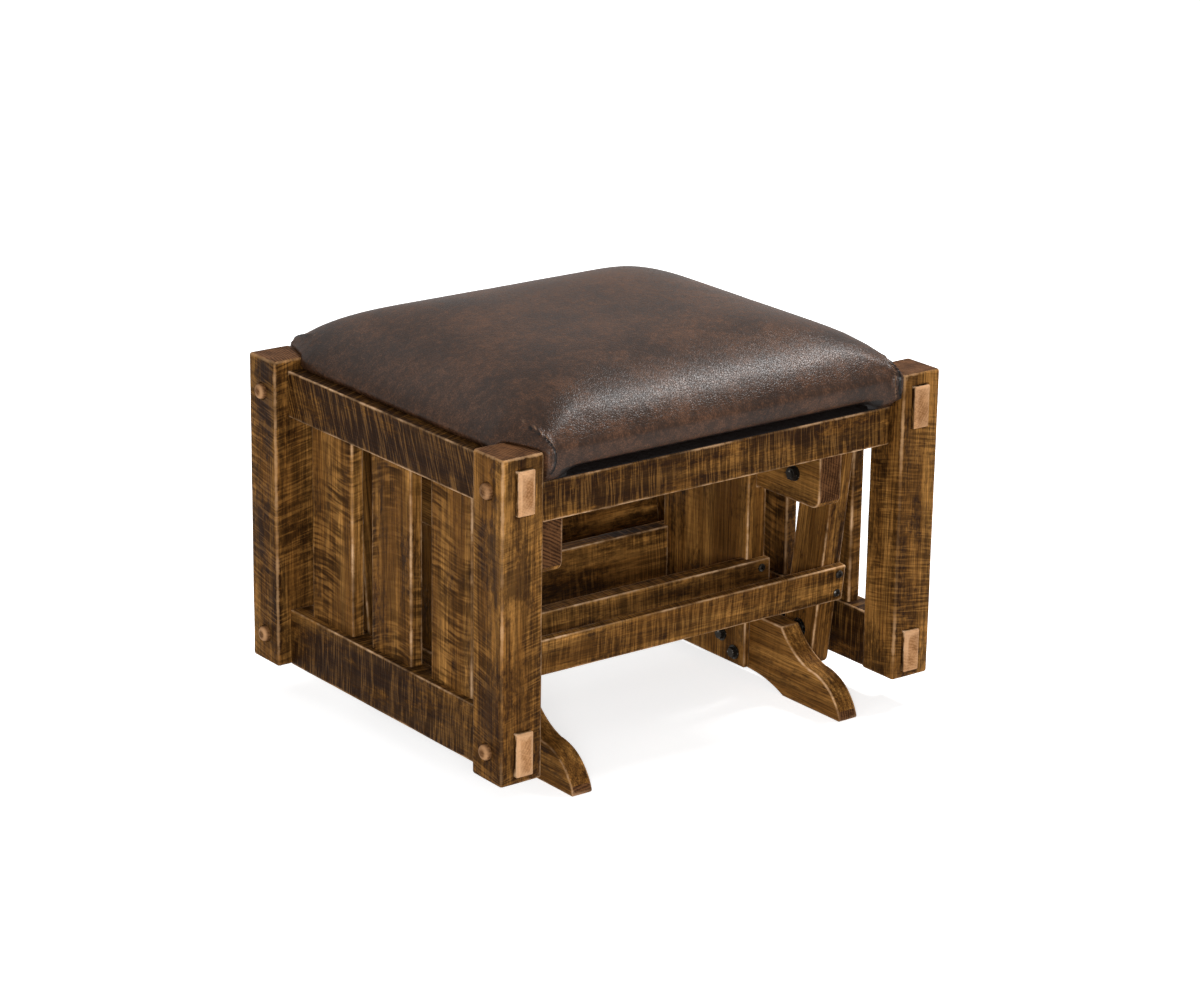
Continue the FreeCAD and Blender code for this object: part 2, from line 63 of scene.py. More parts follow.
# What each finish gives
SURFACE = ("Color", "Roughness", "Height")

# Photograph: 1200 x 1000 pixels
photo_width = 1200
focal_pixels = 3652.6
sensor_width = 36.0
camera_place = Vector((-2.2285, -2.9412, 1.4418))
camera_azimuth = math.radians(37.29)
camera_pitch = math.radians(18.334)
camera_roll = math.radians(-0.836)

# Studio light
soft_light = 0.34
floor_glow = 0.68
floor_grey = (0.82, 0.82, 0.82, 1)
floor_radius = 9
floor_fade = (0.45, 1.6)
lamp_target = Vector((0, 0, 0.25))

# Joinery, the same sizes as the solids
tenon_thick = 0.020
tenon_height = 0.046
tenon_bevel = 0.0022
peg_radius = 0.0085
joint_gap = 0.0005
rim_flare = 0.0012

# Forms of this scene alone: the stretchers' thicker middle, the back slats' wider side
stretcher_body = 0.009
slat_overhang = 0.005

# Screws
screw_head_radius = 0.0045
screw_head_height = 0.0024
screw_shank_radius = 0.002

# Cushion, the same sizes as its solid, with the folds of its cover
cushion_half_width = 0.253
cushion_half_depth = 0.2285
cushion_crown = 0.0515
crown_square = 4
crown_round = 1.3
cushion_corner_length = 0.062
cushion_corner_bow = 0.0025
cushion_pleat_radius = 0.005
cushion_corner_soft = 0.078
skirt_lift = 0.17
# How far below the post tops the painted shade of the gap under the cushion's roll begins
painted_shade_depth = 0.0215
soft_gap = 0.0004
swell_grid = 0.0055
swell_steps = 20
swell_cap = 0.003
fold_span = 0.026
fold_columns = 26
fold_width = 0.012
fold_low = -0.030
fold_high = 0.024
fold_tuck = 0.0045
fold_groove = 0.0036
fold_lip = 0.0028


# Small helpers for meshes

def new_object(name, data):
    piece = bpy.data.objects.new(name, data)
    bpy.context.scene.collection.objects.link(piece)
    return piece


def settle(piece, body, node):
    """Says which body the piece moves with, and the node that it stands for."""
    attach(piece, body)
    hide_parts(node)


def changed(piece):
    """The mesh that an object's modifiers give."""
    return bpy.data.meshes.new_from_object(piece.evaluated_get(bpy.context.evaluated_depsgraph_get()))


def search_tree(places):
    tree = KDTree(len(places))
    for i, place in enumerate(places):
        tree.insert(place, i)
    tree.balance()
    return tree


def outer_face(low, high, side):
    return high.x if side > 0 else low.x


def mesh_from(name, bm):
    mesh = bpy.data.meshes.new(name)
    bm.to_mesh(mesh)
    bm.free()
    return mesh


def outline(node, axis):
    """The outer outline of a board on its face at the low end of an axis, with bores left out."""
    bm = bmesh.new()
    bm.from_mesh(frame["nodes"][node].data)
    bmesh.ops.remove_doubles(bm, verts=bm.verts, dist=1e-6)
    low = min(v.co[axis] for v in bm.verts)
    flat = {f for f in bm.faces if all(abs(v.co[axis] - low) < 1e-5 for v in f.verts)}
    rim = [e for e in bm.edges if sum(f in flat for f in e.link_faces) == 1]
    loops = [[v.co.copy() for v in loop] for loop in chained(rim)]
    bm.free()
    return straightened(max(loops, key=spread))


def chained(edges):
    """Edges joined end to end into closed loops of vertices, in the same order on each run."""
    left = dict.fromkeys(edges)
    loops = []
    while left:
        edge = next(iter(left))
        left.pop(edge)
        loop = [edge.verts[0], edge.verts[1]]
        while True:
            following = [e for e in loop[-1].link_edges if e in left]
            if not following:
                break
            left.pop(following[0])
            loop.append(following[0].other_vert(loop[-1]))
        if loop[0] is loop[-1]:
            loop.pop()
        loops.append(loop)
    return loops


def spread(points):
    return sum(max(p[i] for p in points) - min(p[i] for p in points) for i in range(3))


def straightened(points):
    """A closed outline without the points that lie on a straight run."""
    kept = []
    count = len(points)
    for i in range(count):
        before = points[i] - points[i - 1]
        after = points[(i + 1) % count] - points[i]
        if before.length > 1e-6 and after.length > 1e-6 and before.angle(after) > math.radians(0.5):
            kept.append(points[i])
    return kept


def bridge(bm, rings):
    """Faces from each ring of places to the next, and over the first and the last one."""
    rings = [[bm.verts.new(co) for co in ring] for ring in rings]
    count = len(rings[0])
    for first, second in zip(rings, rings[1:]):
        for i in range(count):
            j = (i + 1) % count
            bm.faces.new((first[i], first[j], second[j], second[i]))
    bm.faces.new(rings[0])
    bm.faces.new(rings[-1])


def solid(rings):
    """A closed solid through rings of places."""
    bm = bmesh.new()
    bridge(bm, rings)
    bmesh.ops.recalc_face_normals(bm, faces=bm.faces)
    return bm


def prism(points, axis, low, high):
    """A closed solid: an outline carried along an axis."""
    rings = []
    for end in (low, high):
        rings.append([point.copy() for point in points])
        for co in rings[-1]:
            co[axis] = end
    return solid(rings)


def bar(low, high):
    """A rectangular bar between two corners."""
    corners = ((low.x, low.y), (high.x, low.y), (high.x, high.y), (low.x, high.y))
    return prism([Vector((x, y, low.z)) for x, y in corners], 2, low.z, high.z)


def stepped_bar(sections):
    """A bar along Y whose rectangle changes from section to section: (y, x low, x high, z low, z high)."""
    return solid([[(x0, y, z0), (x1, y, z0), (x1, y, z1), (x0, y, z1)] for y, x0, x1, z0, z1 in sections])


def sharp_edges(bm, least=30):
    return [e for e in bm.edges if len(e.link_faces) == 2 and e.calc_face_angle(0) > math.radians(least)]


def edge_samples(bm, step=0.0015):
    """Points along every sharp edge, for measuring how near the rest of the wood is to one."""
    places = []
    for edge in sharp_edges(bm):
        if not edge.is_convex:
            continue
        start, end = (v.co for v in edge.verts)
        count = max(1, int((end - start).length / step))
        places += [start.lerp(end, k / count) for k in range(count + 1)]
    return places


def cut_grid(bm, step, margin):
    """Cuts a solid into a grid, with a line near each of its sides, so that its faces can wave a little."""
    bmesh.ops.triangulate(bm, faces=[f for f in bm.faces if len(f.verts) > 4])
    for axis in range(3):
        low = min(v.co[axis] for v in bm.verts)
        high = max(v.co[axis] for v in bm.verts)
        places = [low + margin, high - margin]
        inside = high - low - 2 * margin
        count = int(inside / step)
        places += [low + margin + inside * k / (count + 1) for k in range(1, count + 1)]
        way = Vector((X, Y, Z)[axis])
        for place in places:
            if low + 1e-4 < place < high - 1e-4:
                everything = bm.verts[:] + bm.edges[:] + bm.faces[:]
                bmesh.ops.bisect_plane(bm, geom=everything, dist=1e-6, plane_co=way * place, plane_no=way)


def carved(name, bm, cutters):
    """The solid with cutters taken out, as a mesh."""
    mesh = mesh_from(name, bm)
    if not cutters:
        return mesh
    piece = new_object(name, mesh)
    tool = new_object(name + "_tool", joined_mesh(cutters))
    change = piece.modifiers.new("cut", "BOOLEAN")
    change.operation = "DIFFERENCE"
    change.solver = "EXACT"
    change.object = tool
    result = changed(piece)
    bpy.data.objects.remove(piece)
    bpy.data.objects.remove(tool)
    result.name = name
    return result


def joined_mesh(meshes):
    whole = bmesh.new()
    for bm in meshes:
        part = bpy.data.meshes.new("part")
        bm.to_mesh(part)
        bm.free()
        whole.from_mesh(part)
        bpy.data.meshes.remove(part)
    return mesh_from("joined", whole)


def flared_hole(corners_at, depths):
    """A cutter whose outline, corners_at(growth, depth), opens out by a growth at each depth."""
    return solid([corners_at(growth, depth) for depth, growth in depths])


# Boards

def wavy(mesh, height, seed):
    """Moves the surface in and out a little, as hand-finished rough lumber has no true faces."""
    bm = bmesh.new()
    bm.from_mesh(mesh)
    bm.normal_update()
    offset = Vector((seed * 3.1, seed * 1.7, seed * 2.3))
    for vert in bm.verts:
        slow = noise.noise(vert.co * 22 + offset)
        quick = noise.noise(vert.co * 70 - offset)
        vert.co += vert.normal * height * (0.75 * slow + 0.45 * quick)
    bm.to_mesh(mesh)
    bm.free()


def mark_wood(mesh, turn, centre, samples, seed):
    """Stores where each point lies in its board, along the grain last, and how far it is from a worn edge."""
    chance = random.Random(seed)
    shift = Vector([chance.uniform(-3, 3) for _ in range(3)])
    tree = search_tree(samples)
    marks = [turn @ (vert.co - centre) + shift for vert in mesh.vertices]
    reach = [min(0.02, tree.find(vert.co)[2]) for vert in mesh.vertices]
    grain = mesh.attributes.new("grain", "FLOAT_VECTOR", "POINT")
    grain.data.foreach_set("vector", [number for mark in marks for number in mark])
    edge = mesh.attributes.new("edge", "FLOAT", "POINT")
    edge.data.foreach_set("value", reach)


def grain_turn(along, across):
    """Turns the row's frame to a board's own: across its width, through its thickness, along its grain."""
    w = Vector(along).normalized()
    u = Vector(across).normalized()
    return Matrix((u, w.cross(u), w))


def board(name, bm, body, along, across, finish, end_finish, ease=0.0016, wave=0.00022, cutters=()):
    """One wooden piece: eased edges, uneven faces, its grain and wear marked, end grain on its ends."""
    seed = sum(ord(letter) * (i + 3) for i, letter in enumerate(name))
    samples = edge_samples(bm)
    bmesh.ops.bevel(bm, geom=sharp_edges(bm), offset=ease, offset_type="OFFSET", segments=3, profile=0.5,
                    affect="EDGES", clamp_overlap=True)
    cut_grid(bm, 0.014, max(0.004, ease * 2.2))
    mesh = carved(name, bm, cutters)
    wavy(mesh, wave, seed)
    low = Vector([min(v.co[i] for v in mesh.vertices) for i in range(3)])
    high = Vector([max(v.co[i] for v in mesh.vertices) for i in range(3)])
    turn = grain_turn(along, across)
    mark_wood(mesh, turn, (low + high) / 2, samples, seed)
    mesh.materials.clear()
    mesh.materials.append(finish)
    mesh.materials.append(end_finish)
    axis = Vector(along).normalized()
    for face in mesh.polygons:
        face.material_index = 1 if abs(face.normal.dot(axis)) > 0.9 else 0
    mesh.shade_smooth()
    mesh.set_sharp_from_angle(angle=math.radians(38))
    piece = new_object(name + "_board", mesh)
    settle(piece, body, name)
    return piece


# Node trees

class Tree:
    """Builds a node tree: each call adds one node and gives its output."""

    def __init__(self, tree):
        self.tree = tree
        self.nodes = tree.nodes

    def node(self, kind, **settings):
        made = self.nodes.new(kind)
        for key, value in settings.items():
            setattr(made, key, value)
        return made

    def feed(self, socket, value):
        if isinstance(value, bpy.types.NodeSocket):
            self.tree.links.new(value, socket)
        elif value is not None:
            socket.default_value = value

    def fed(self, kind, values, **settings):
        """A node with a value or a link for each input named or numbered."""
        made = self.node(kind, **settings)
        for key, value in values.items():
            self.feed(made.inputs[key], value)
        return made

    def join(self, kind, first, second, share=None):
        """A shader made of two others: added, or mixed by a share."""
        start = 0 if share is None else 1
        values = {start: first.outputs[0], start + 1: second.outputs[0]}
        return self.fed(kind, values if share is None else {0: share, **values})

    def math(self, operation, a, b=None, clamp=False):
        return self.fed("ShaderNodeMath", {0: a, 1: b}, operation=operation, use_clamp=clamp).outputs[0]

    def times(self, a, b, clamp=False):
        return self.math("MULTIPLY", a, b, clamp)

    def plus(self, a, b, clamp=False):
        return self.math("ADD", a, b, clamp)

    def minus(self, a, b, clamp=False):
        return self.math("SUBTRACT", a, b, clamp)

    def vector(self, operation, a, b=None):
        return self.fed("ShaderNodeVectorMath", {0: a, 1: b}, operation=operation).outputs[0]

    def length(self, vector):
        return self.fed("ShaderNodeVectorMath", {0: vector}, operation="LENGTH").outputs["Value"]

    def scaled(self, vector, x, y, z):
        return self.vector("MULTIPLY", vector, (x, y, z))

    def parts(self, vector):
        return self.fed("ShaderNodeSeparateXYZ", {0: vector}).outputs

    def whole(self, x, y, z):
        return self.fed("ShaderNodeCombineXYZ", {0: x, 1: y, 2: z}).outputs[0]

    def noise(self, vector, scale=1.0, detail=2.0, roughness=0.5, distortion=0.0):
        values = {"Vector": vector, "Scale": scale, "Detail": detail, "Roughness": roughness,
                  "Distortion": distortion}
        return self.fed("ShaderNodeTexNoise", values).outputs[0]

    def streaks(self, vector, across, along, detail, roughness=0.5, distortion=0.0):
        """Noise with one scale across the grain and another along it."""
        return self.noise(self.scaled(vector, across, across, along), 1.0, detail, roughness, distortion)

    def cells(self, vector, scale):
        """How far a place is from the border of its cell."""
        values = {"Vector": vector, "Scale": scale}
        return self.fed("ShaderNodeTexVoronoi", values, feature="DISTANCE_TO_EDGE").outputs["Distance"]

    def span(self, value, low, high, to_low=0.0, to_high=1.0, smooth=True):
        kind = "SMOOTHSTEP" if smooth else "LINEAR"
        values = {"Value": value, "From Min": low, "From Max": high, "To Min": to_low, "To Max": to_high}
        return self.fed("ShaderNodeMapRange", values, interpolation_type=kind).outputs[0]

    def mix(self, share, first, second, blend="MIX"):
        return self.fed("ShaderNodeMix", {"Factor": share, 6: first, 7: second},
                        data_type="RGBA", blend_type=blend).outputs[2]

    def attribute(self, name, output):
        return self.node("ShaderNodeAttribute", attribute_name=name).outputs[output]

    def group(self, tree, **values):
        """A shared group with values for some inputs: its node, of which the outputs are used."""
        named = {key.replace("_", " ").capitalize(): value for key, value in values.items()}
        return self.fed("ShaderNodeGroup", named, node_tree=tree)


def empty_tree(owner):
    """A Tree over the nodes of a material or of the world, with none in it yet."""
    owner.use_nodes = True
    owner.node_tree.nodes.clear()
    return Tree(owner.node_tree)


def node_group(name, inputs, outputs):
    """An empty group: inputs by name, with a number, a colour or None for a vector; outputs by name."""
    made = bpy.data.node_groups.new(name, "ShaderNodeTree")
    for label, default in inputs.items():
        kind = "Vector" if default is None else "Color" if isinstance(default, tuple) else "Float"
        socket = made.interface.new_socket(label, in_out="INPUT", socket_type="NodeSocket" + kind)
        if default is not None:
            socket.default_value = default
    for label in outputs:
        kind = "Color" if label == "Color" else "Float"
        made.interface.new_socket(label, in_out="OUTPUT", socket_type="NodeSocket" + kind)
    tree = Tree(made)
    given = tree.node("NodeGroupInput").outputs
    result = tree.node("NodeGroupOutput").inputs
    return made, tree, given, result


def saw_marks_group():
    """Band-saw marks: uneven ridges across the grain, slanted and bowed, that come and go in patches."""
    made, t, given, result = node_group(
        "Saw marks", {"Grain": None, "Spacing": 0.0045, "Slant": 0.1, "Bow": 0.0, "Patchiness": 0.5},
        ("Ridge", "Patch"))
    grain = given["Grain"]
    u, v, w = t.parts(grain)
    side = t.plus(u, v)
    bowed = t.times(t.math("SINE", t.times(side, 42.0)), given["Bow"])
    wander = t.times(t.noise(grain, 14.0, 2.0), 0.006)
    place = t.plus(t.plus(w, t.times(side, given["Slant"])), t.plus(bowed, wander))
    step = t.math("DIVIDE", place, given["Spacing"])
    fine = t.noise(t.whole(step, t.times(side, 16.0), 0.0), 1.6, 1.0, 0.6)
    coarse = t.noise(t.whole(t.times(step, 0.31), t.times(side, 7.0), 7.0), 1.6, 1.0, 0.5)
    ridge = t.plus(t.times(fine, 0.65), t.times(coarse, 0.35))
    patch = t.streaks(grain, 16.0, 9.0, 2.0, 0.6)
    start = t.minus(given["Patchiness"], 0.12)
    t.feed(result["Patch"], t.span(patch, start, t.plus(given["Patchiness"], 0.10)))
    t.feed(result["Ridge"], t.span(ridge, 0.39, 0.60))
    return made


def grain_group():
    """Grain of a flat-sawn board: long fibres, growth rings that drift along it, and short dark pores."""
    made, t, given, result = node_group(
        "Wood grain", {"Grain": None, "Ring spacing": 0.006, "Waver": 0.010}, ("Fibre", "Rings", "Pores"))
    grain = given["Grain"]
    u, v = t.parts(grain)[:2]
    drift = t.streaks(grain, 7.0, 2.6, 2.0)
    shifted = t.times(t.minus(drift, 0.5), t.times(given["Waver"], 4.0))
    far_u = t.plus(t.plus(t.times(u, 0.45), 0.03), shifted)
    far_v = t.plus(v, t.times(shifted, 0.6))
    radius = t.math("SQRT", t.plus(t.times(far_u, far_u), t.times(far_v, far_v)))
    wave = t.math("SINE", t.times(t.math("DIVIDE", radius, given["Ring spacing"]), 6.2832))
    t.feed(result["Rings"], t.span(wave, -0.4, 1.0))
    fibre = t.streaks(grain, 620.0, 16.0, 3.0, 0.62)
    t.feed(result["Fibre"], t.span(fibre, 0.3, 0.7))
    pores = t.streaks(grain, 1300.0, 95.0, 1.0, 0.5)
    t.feed(result["Pores"], t.span(pores, 0.60, 0.72))
    return made


def wear_and_highlight_group():
    """Edges rubbed back to lighter wood: strongest on the edge, broken up along it. Its second output is a
    painted highlight: a thin bright line on the very rim, in place of a glint.
    """
    made, t, given, result = node_group(
        "Edge wear", {"Edge": 0.01, "Grain": None, "Reach": 0.003, "Amount": 0.7}, ("Wear", "Painted highlight"))
    grain = given["Grain"]
    ragged = t.noise(grain, 95.0, 3.0, 0.65)
    slow = t.noise(grain, 17.0, 2.0, 0.5)
    reach = t.times(given["Reach"], t.plus(0.10, t.times(ragged, 1.7)))
    near = t.minus(1.0, t.math("DIVIDE", given["Edge"], reach), clamp=True)
    keep = t.span(slow, 0.36, 0.60, 0.12, 1.0)
    t.feed(result["Wear"], t.times(t.times(near, keep), given["Amount"], clamp=True))
    # Painted highlight: a thin line on the very rim, broken up along it, that stands in for the edge's glint
    rubbed = t.times(t.span(ragged, 0.36, 0.62), t.span(slow, 0.40, 0.62, 0.15, 0.75))
    t.feed(result["Painted highlight"], t.times(t.span(given["Edge"], 0.0016, 0.0007), rubbed))
    return made


def timber_group(saw, grain, wear):
    """Colour, roughness and height of stained rough-sawn wood, with a painted highlight along the rims of its
    edges.
    """
    made, t, given, result = node_group(
        "Stained sawn timber",
        {"Grain": None, "Edge": 0.01, "Dark": (0.026, 0.0095, 0.0022, 1), "Stain": (0.165, 0.070, 0.0150, 1),
         "Gold": (0.42, 0.200, 0.050, 1), "Worn": (0.62, 0.36, 0.175, 1), "Shade": 0.5, "Gold amount": 0.5,
         "Saw spacing": 0.0045, "Saw slant": 0.1, "Saw bow": 0.0, "Saw strength": 0.6, "Patchiness": 0.5,
         "Fibre strength": 1.0, "Bright": (0.85, 0.58, 0.36, 1), "Wear amount": 0.7, "Wear reach": 0.003},
        SURFACE)
    board_grain, dark = given["Grain"], given["Dark"]
    saw_out = t.group(saw, grain=board_grain, spacing=given["Saw spacing"], slant=given["Saw slant"],
                      bow=given["Saw bow"], patchiness=given["Patchiness"]).outputs
    grain_out = t.group(grain, grain=board_grain).outputs
    wear_and_highlight_out = t.group(wear, grain=board_grain, edge=given["Edge"], reach=given["Wear reach"],
                       amount=given["Wear amount"]).outputs
    blotch = t.streaks(board_grain, 24.0, 10.0, 4.0, 0.60, 0.4)
    mottle = t.streaks(board_grain, 230.0, 110.0, 4.0, 0.7)
    streak = t.streaks(board_grain, 46.0, 3.4, 3.0, 0.6, 0.3)
    depth = t.plus(blotch, t.times(t.minus(mottle, 0.5), 0.62))
    lowest = t.minus(given["Shade"], 0.13)
    lit = t.span(depth, lowest, t.plus(given["Shade"], 0.11))
    colour = t.mix(lit, dark, given["Stain"])
    golden = t.times(t.span(streak, 0.44, 0.66), given["Gold amount"])
    golden = t.times(golden, t.plus(0.35, t.times(lit, 0.65)))
    colour = t.mix(golden, colour, given["Gold"])
    colour = t.mix(t.times(grain_out["Rings"], 0.36), colour, dark)
    fibre = t.plus(t.times(t.minus(grain_out["Fibre"], 0.5), given["Fibre strength"]), 0.99)
    colour = t.mix(1.0, colour, t.whole(fibre, fibre, fibre), "MULTIPLY")
    groove = t.times(t.minus(1.0, saw_out["Ridge"]), given["Saw strength"])
    groove = t.times(groove, t.plus(0.25, t.times(saw_out["Patch"], 0.75)))
    colour = t.mix(groove, colour, t.mix(1.0, dark, (0.45, 0.45, 0.5, 1), "MULTIPLY"))
    crest = t.times(t.span(saw_out["Ridge"], 0.72, 1.0), t.times(saw_out["Patch"], 0.30))
    crest = t.times(crest, given["Saw strength"])
    colour = t.mix(crest, colour, given["Gold"])
    colour = t.mix(t.times(grain_out["Pores"], 0.55), colour, dark)
    colour = t.mix(wear_and_highlight_out["Wear"], colour, given["Worn"])
    # Painted highlight: the rim line is mixed to a bright colour, scaled by the wear amount
    colour = t.mix(t.times(wear_and_highlight_out["Painted highlight"], given["Wear amount"]), colour, given["Bright"])
    t.feed(result["Color"], colour)
    rough = t.span(lit, 0.0, 1.0, 0.50, 0.62, smooth=False)
    t.feed(result["Roughness"], t.plus(rough, t.times(groove, 0.2)))
    height = t.times(saw_out["Ridge"], t.times(given["Saw strength"], 0.9))
    height = t.plus(height, t.times(grain_out["Fibre"], 0.30))
    height = t.minus(height, t.times(grain_out["Pores"], 0.35))
    height = t.plus(height, t.times(mottle, 0.5))
    t.feed(result["Height"], height)
    return made


def end_grain_group(wear):
    """End grain: rings seen end on, dark and dry, with fine checks and saw scratches."""
    made, t, given, result = node_group(
        "End grain",
        {"Grain": None, "Edge": 0.01, "Dark": (0.030, 0.012, 0.0045, 1), "Light": (0.135, 0.058, 0.022, 1),
         "Worn": (0.62, 0.36, 0.19, 1), "Wear amount": 0.8, "Ring strength": 0.3, "Scratch strength": 0.45},
        SURFACE)
    grain = given["Grain"]
    u, v = t.parts(grain)[:2]
    bent = t.times(t.noise(grain, 30.0, 2.0), 0.008)
    far = t.plus(u, 0.05)
    tall = t.plus(v, 0.04)
    radius = t.math("SQRT", t.plus(t.times(far, far), t.times(tall, tall)))
    ring = t.math("SINE", t.times(t.plus(radius, bent), 6.2832 / 0.0034))
    slanted = t.times(t.plus(u, t.times(v, 0.5)), 620.0)
    scratch = t.noise(t.whole(slanted, t.times(v, 45.0), 3.0), 1.0, 2.0, 0.6)
    dots = t.streaks(grain, 700.0, 700.0, 1.0)
    patch = t.noise(grain, 55.0, 3.0, 0.6)
    ring = t.times(t.minus(t.span(ring, -1.0, 1.0), 0.5), given["Ring strength"])
    scratch = t.times(t.minus(scratch, 0.5), t.times(given["Scratch strength"], 2.0))
    tone = t.plus(t.plus(ring, scratch), 0.5)
    tone = t.plus(tone, t.times(t.minus(dots, 0.5), 0.5))
    tone = t.plus(tone, t.times(t.minus(patch, 0.5), 0.9))
    colour = t.mix(t.span(tone, 0.20, 0.80), given["Dark"], given["Light"])
    wear_and_highlight_out = t.group(wear, grain=grain, edge=given["Edge"], amount=given["Wear amount"]).outputs
    colour = t.mix(wear_and_highlight_out["Wear"], colour, given["Worn"])
    t.feed(result["Color"], colour)
    t.feed(result["Roughness"], t.span(tone, 0.0, 1.0, 0.72, 0.55, smooth=False))
    t.feed(result["Height"], tone)
    return made


def leather_group():
    """Pull-up leather: pebbled cells and faint reddish mottling where it is rubbed, with painted shade in its
    folds and under its roll, and a painted highlight on each fold's lip.
    """
    made, t, given, result = node_group(
        "Leather",
        {"Place": None, "Painted light": 0.0, "Deep": (0.016, 0.0070, 0.0034, 1),
         "Brown": (0.040, 0.0180, 0.0085, 1), "Rubbed": (0.150, 0.066, 0.033, 1),
         "Painted shade colour": (0.003, 0.0015, 0.001, 1), "Painted highlight": (0.30, 0.17, 0.10, 1)},
        SURFACE)
    place, deep = given["Place"], given["Deep"]
    stray = t.whole(t.noise(place, 160.0), t.noise(place, 173.0), t.noise(place, 151.0))
    warp = t.vector("ADD", place, t.scaled(stray, 0.003, 0.003, 0.003))
    pebble = t.cells(warp, 400.0)
    coarse = t.cells(warp, 170.0)
    cloud = t.noise(place, 16.0, 4.0, 0.6)
    mottle = t.noise(place, 120.0, 4.0, 0.75)
    speck = t.noise(place, 650.0, 2.0, 0.6)
    rubbed = t.plus(t.times(mottle, 0.55), t.times(speck, 0.45))
    rubbed = t.plus(rubbed, t.times(t.minus(cloud, 0.5), 0.28))
    colour = t.mix(t.span(cloud, 0.2, 0.8), deep, given["Brown"])
    colour = t.mix(t.times(t.span(rubbed, 0.42, 0.68), 0.62), colour, given["Rubbed"])
    seam = t.span(pebble, 0.0, 0.16)
    colour = t.mix(t.times(t.minus(1.0, seam), 0.6), colour, deep)
    # Painted shade where the mark is above zero: the fold's groove and the band under the roll go near black.
    # Painted highlight where it is below zero: the fold's lip goes lighter.
    colour = t.mix(t.span(given["Painted light"], 0.1, 0.7), colour, given["Painted shade colour"])
    colour = t.mix(t.span(given["Painted light"], -0.1, -0.8, 0.0, 0.7), colour, given["Painted highlight"])
    t.feed(result["Color"], colour)
    t.feed(result["Roughness"], t.span(rubbed, 0.3, 0.7, 0.36, 0.50, smooth=False))
    height = t.plus(t.times(seam, 0.55), t.times(t.span(coarse, 0.0, 0.2), 0.3))
    t.feed(result["Height"], t.plus(height, t.times(mottle, 0.5)))
    return made


def steel_group():
    """Zinc-plated or blackened steel: blotched with grime, with fine scuffs."""
    made, t, given, result = node_group(
        "Fastener steel",
        {"Spot": None, "Clean": (0.42, 0.40, 0.37, 1), "Grime": (0.030, 0.025, 0.020, 1), "Dirt": 0.5},
        SURFACE)
    blotch = t.noise(given["Spot"], 240.0, 3.0, 0.6)
    scuff = t.noise(t.scaled(given["Spot"], 900.0, 2600.0, 900.0), 1.0, 2.0, 0.6)
    dirty = t.span(t.plus(blotch, t.times(scuff, 0.25)), given["Dirt"], t.plus(given["Dirt"], 0.22), 1.0, 0.0)
    t.feed(result["Color"], t.mix(dirty, given["Clean"], given["Grime"]))
    t.feed(result["Roughness"], t.span(dirty, 0.0, 1.0, 0.26, 0.52, smooth=False))
    t.feed(result["Height"], t.times(scuff, 0.6))
    return made


def finished(name, group, bump, distance, shader_settings, **values):
    """A Principled material fed by a shared group, with its own values and the piece's own marks."""
    made = bpy.data.materials.new(name)
    t = empty_tree(made)
    shader = t.fed("ShaderNodeBsdfPrincipled", shader_settings)
    t.fed("ShaderNodeOutputMaterial", {0: shader.outputs[0]})
    placed = t.group(group, **values)
    out = placed.outputs
    # Marks read from the mesh; the last one carries the cushion's painted shade and painted highlight
    marks = {"Grain": ("grain", "Vector"), "Edge": ("edge", "Fac"), "Place": ("place", "Vector"),
             "Painted light": ("painted_light", "Fac")}
    for label, (mark, output) in marks.items():
        if label in placed.inputs:
            t.feed(placed.inputs[label], t.attribute(mark, output))
    if "Spot" in placed.inputs:
        t.feed(placed.inputs["Spot"], t.node("ShaderNodeTexCoord").outputs["Object"])
    t.feed(shader.inputs["Base Color"], out["Color"])
    t.feed(shader.inputs["Roughness"], out["Roughness"])
    relief = t.fed("ShaderNodeBump", {"Strength": bump, "Distance": distance, "Height": out["Height"]})
    t.feed(shader.inputs["Normal"], relief.outputs[0])
    if "Coat Weight" in shader_settings:
        t.feed(shader.inputs["Coat Normal"], relief.outputs[0])
    return made


wood_shader = {"Specular IOR Level": 0.04}
leather_shader = {"Specular IOR Level": 0.02, "Coat Weight": 0.095, "Coat IOR": 2.3, "Coat Roughness": 0.31}
steel_shader = {"Metallic": 1.0}
edge_wear_and_highlight = wear_and_highlight_group()
timber = timber_group(saw_marks_group(), grain_group(), edge_wear_and_highlight)
end_grain = end_grain_group(edge_wear_and_highlight)
leather = leather_group()
fastener_metal = steel_group()


def wood(name, shade, gold, saw, patchiness, fibre, wear, bow=0.0):
    """Stained sawn wood: saw is its marks' spacing, slant and strength, wear its amount and reach."""
    spacing, slant, strength = saw
    amount, reach = wear
    return finished(name, timber, 0.55, 0.0006, wood_shader, shade=shade, gold_amount=gold,
                    saw_spacing=spacing, saw_slant=slant, saw_bow=bow, saw_strength=strength,
                    patchiness=patchiness, fibre_strength=fibre, wear_amount=amount, wear_reach=reach)


def cut_end(name, bump, dark, light, worn, rings, scratches):
    """The lighter end grain of a tenon or a peg that stands proud."""
    return finished(name, end_grain, bump, 0.0003, wood_shader, dark=dark, light=light, worn=worn,
                    ring_strength=rings, scratch_strength=scratches)


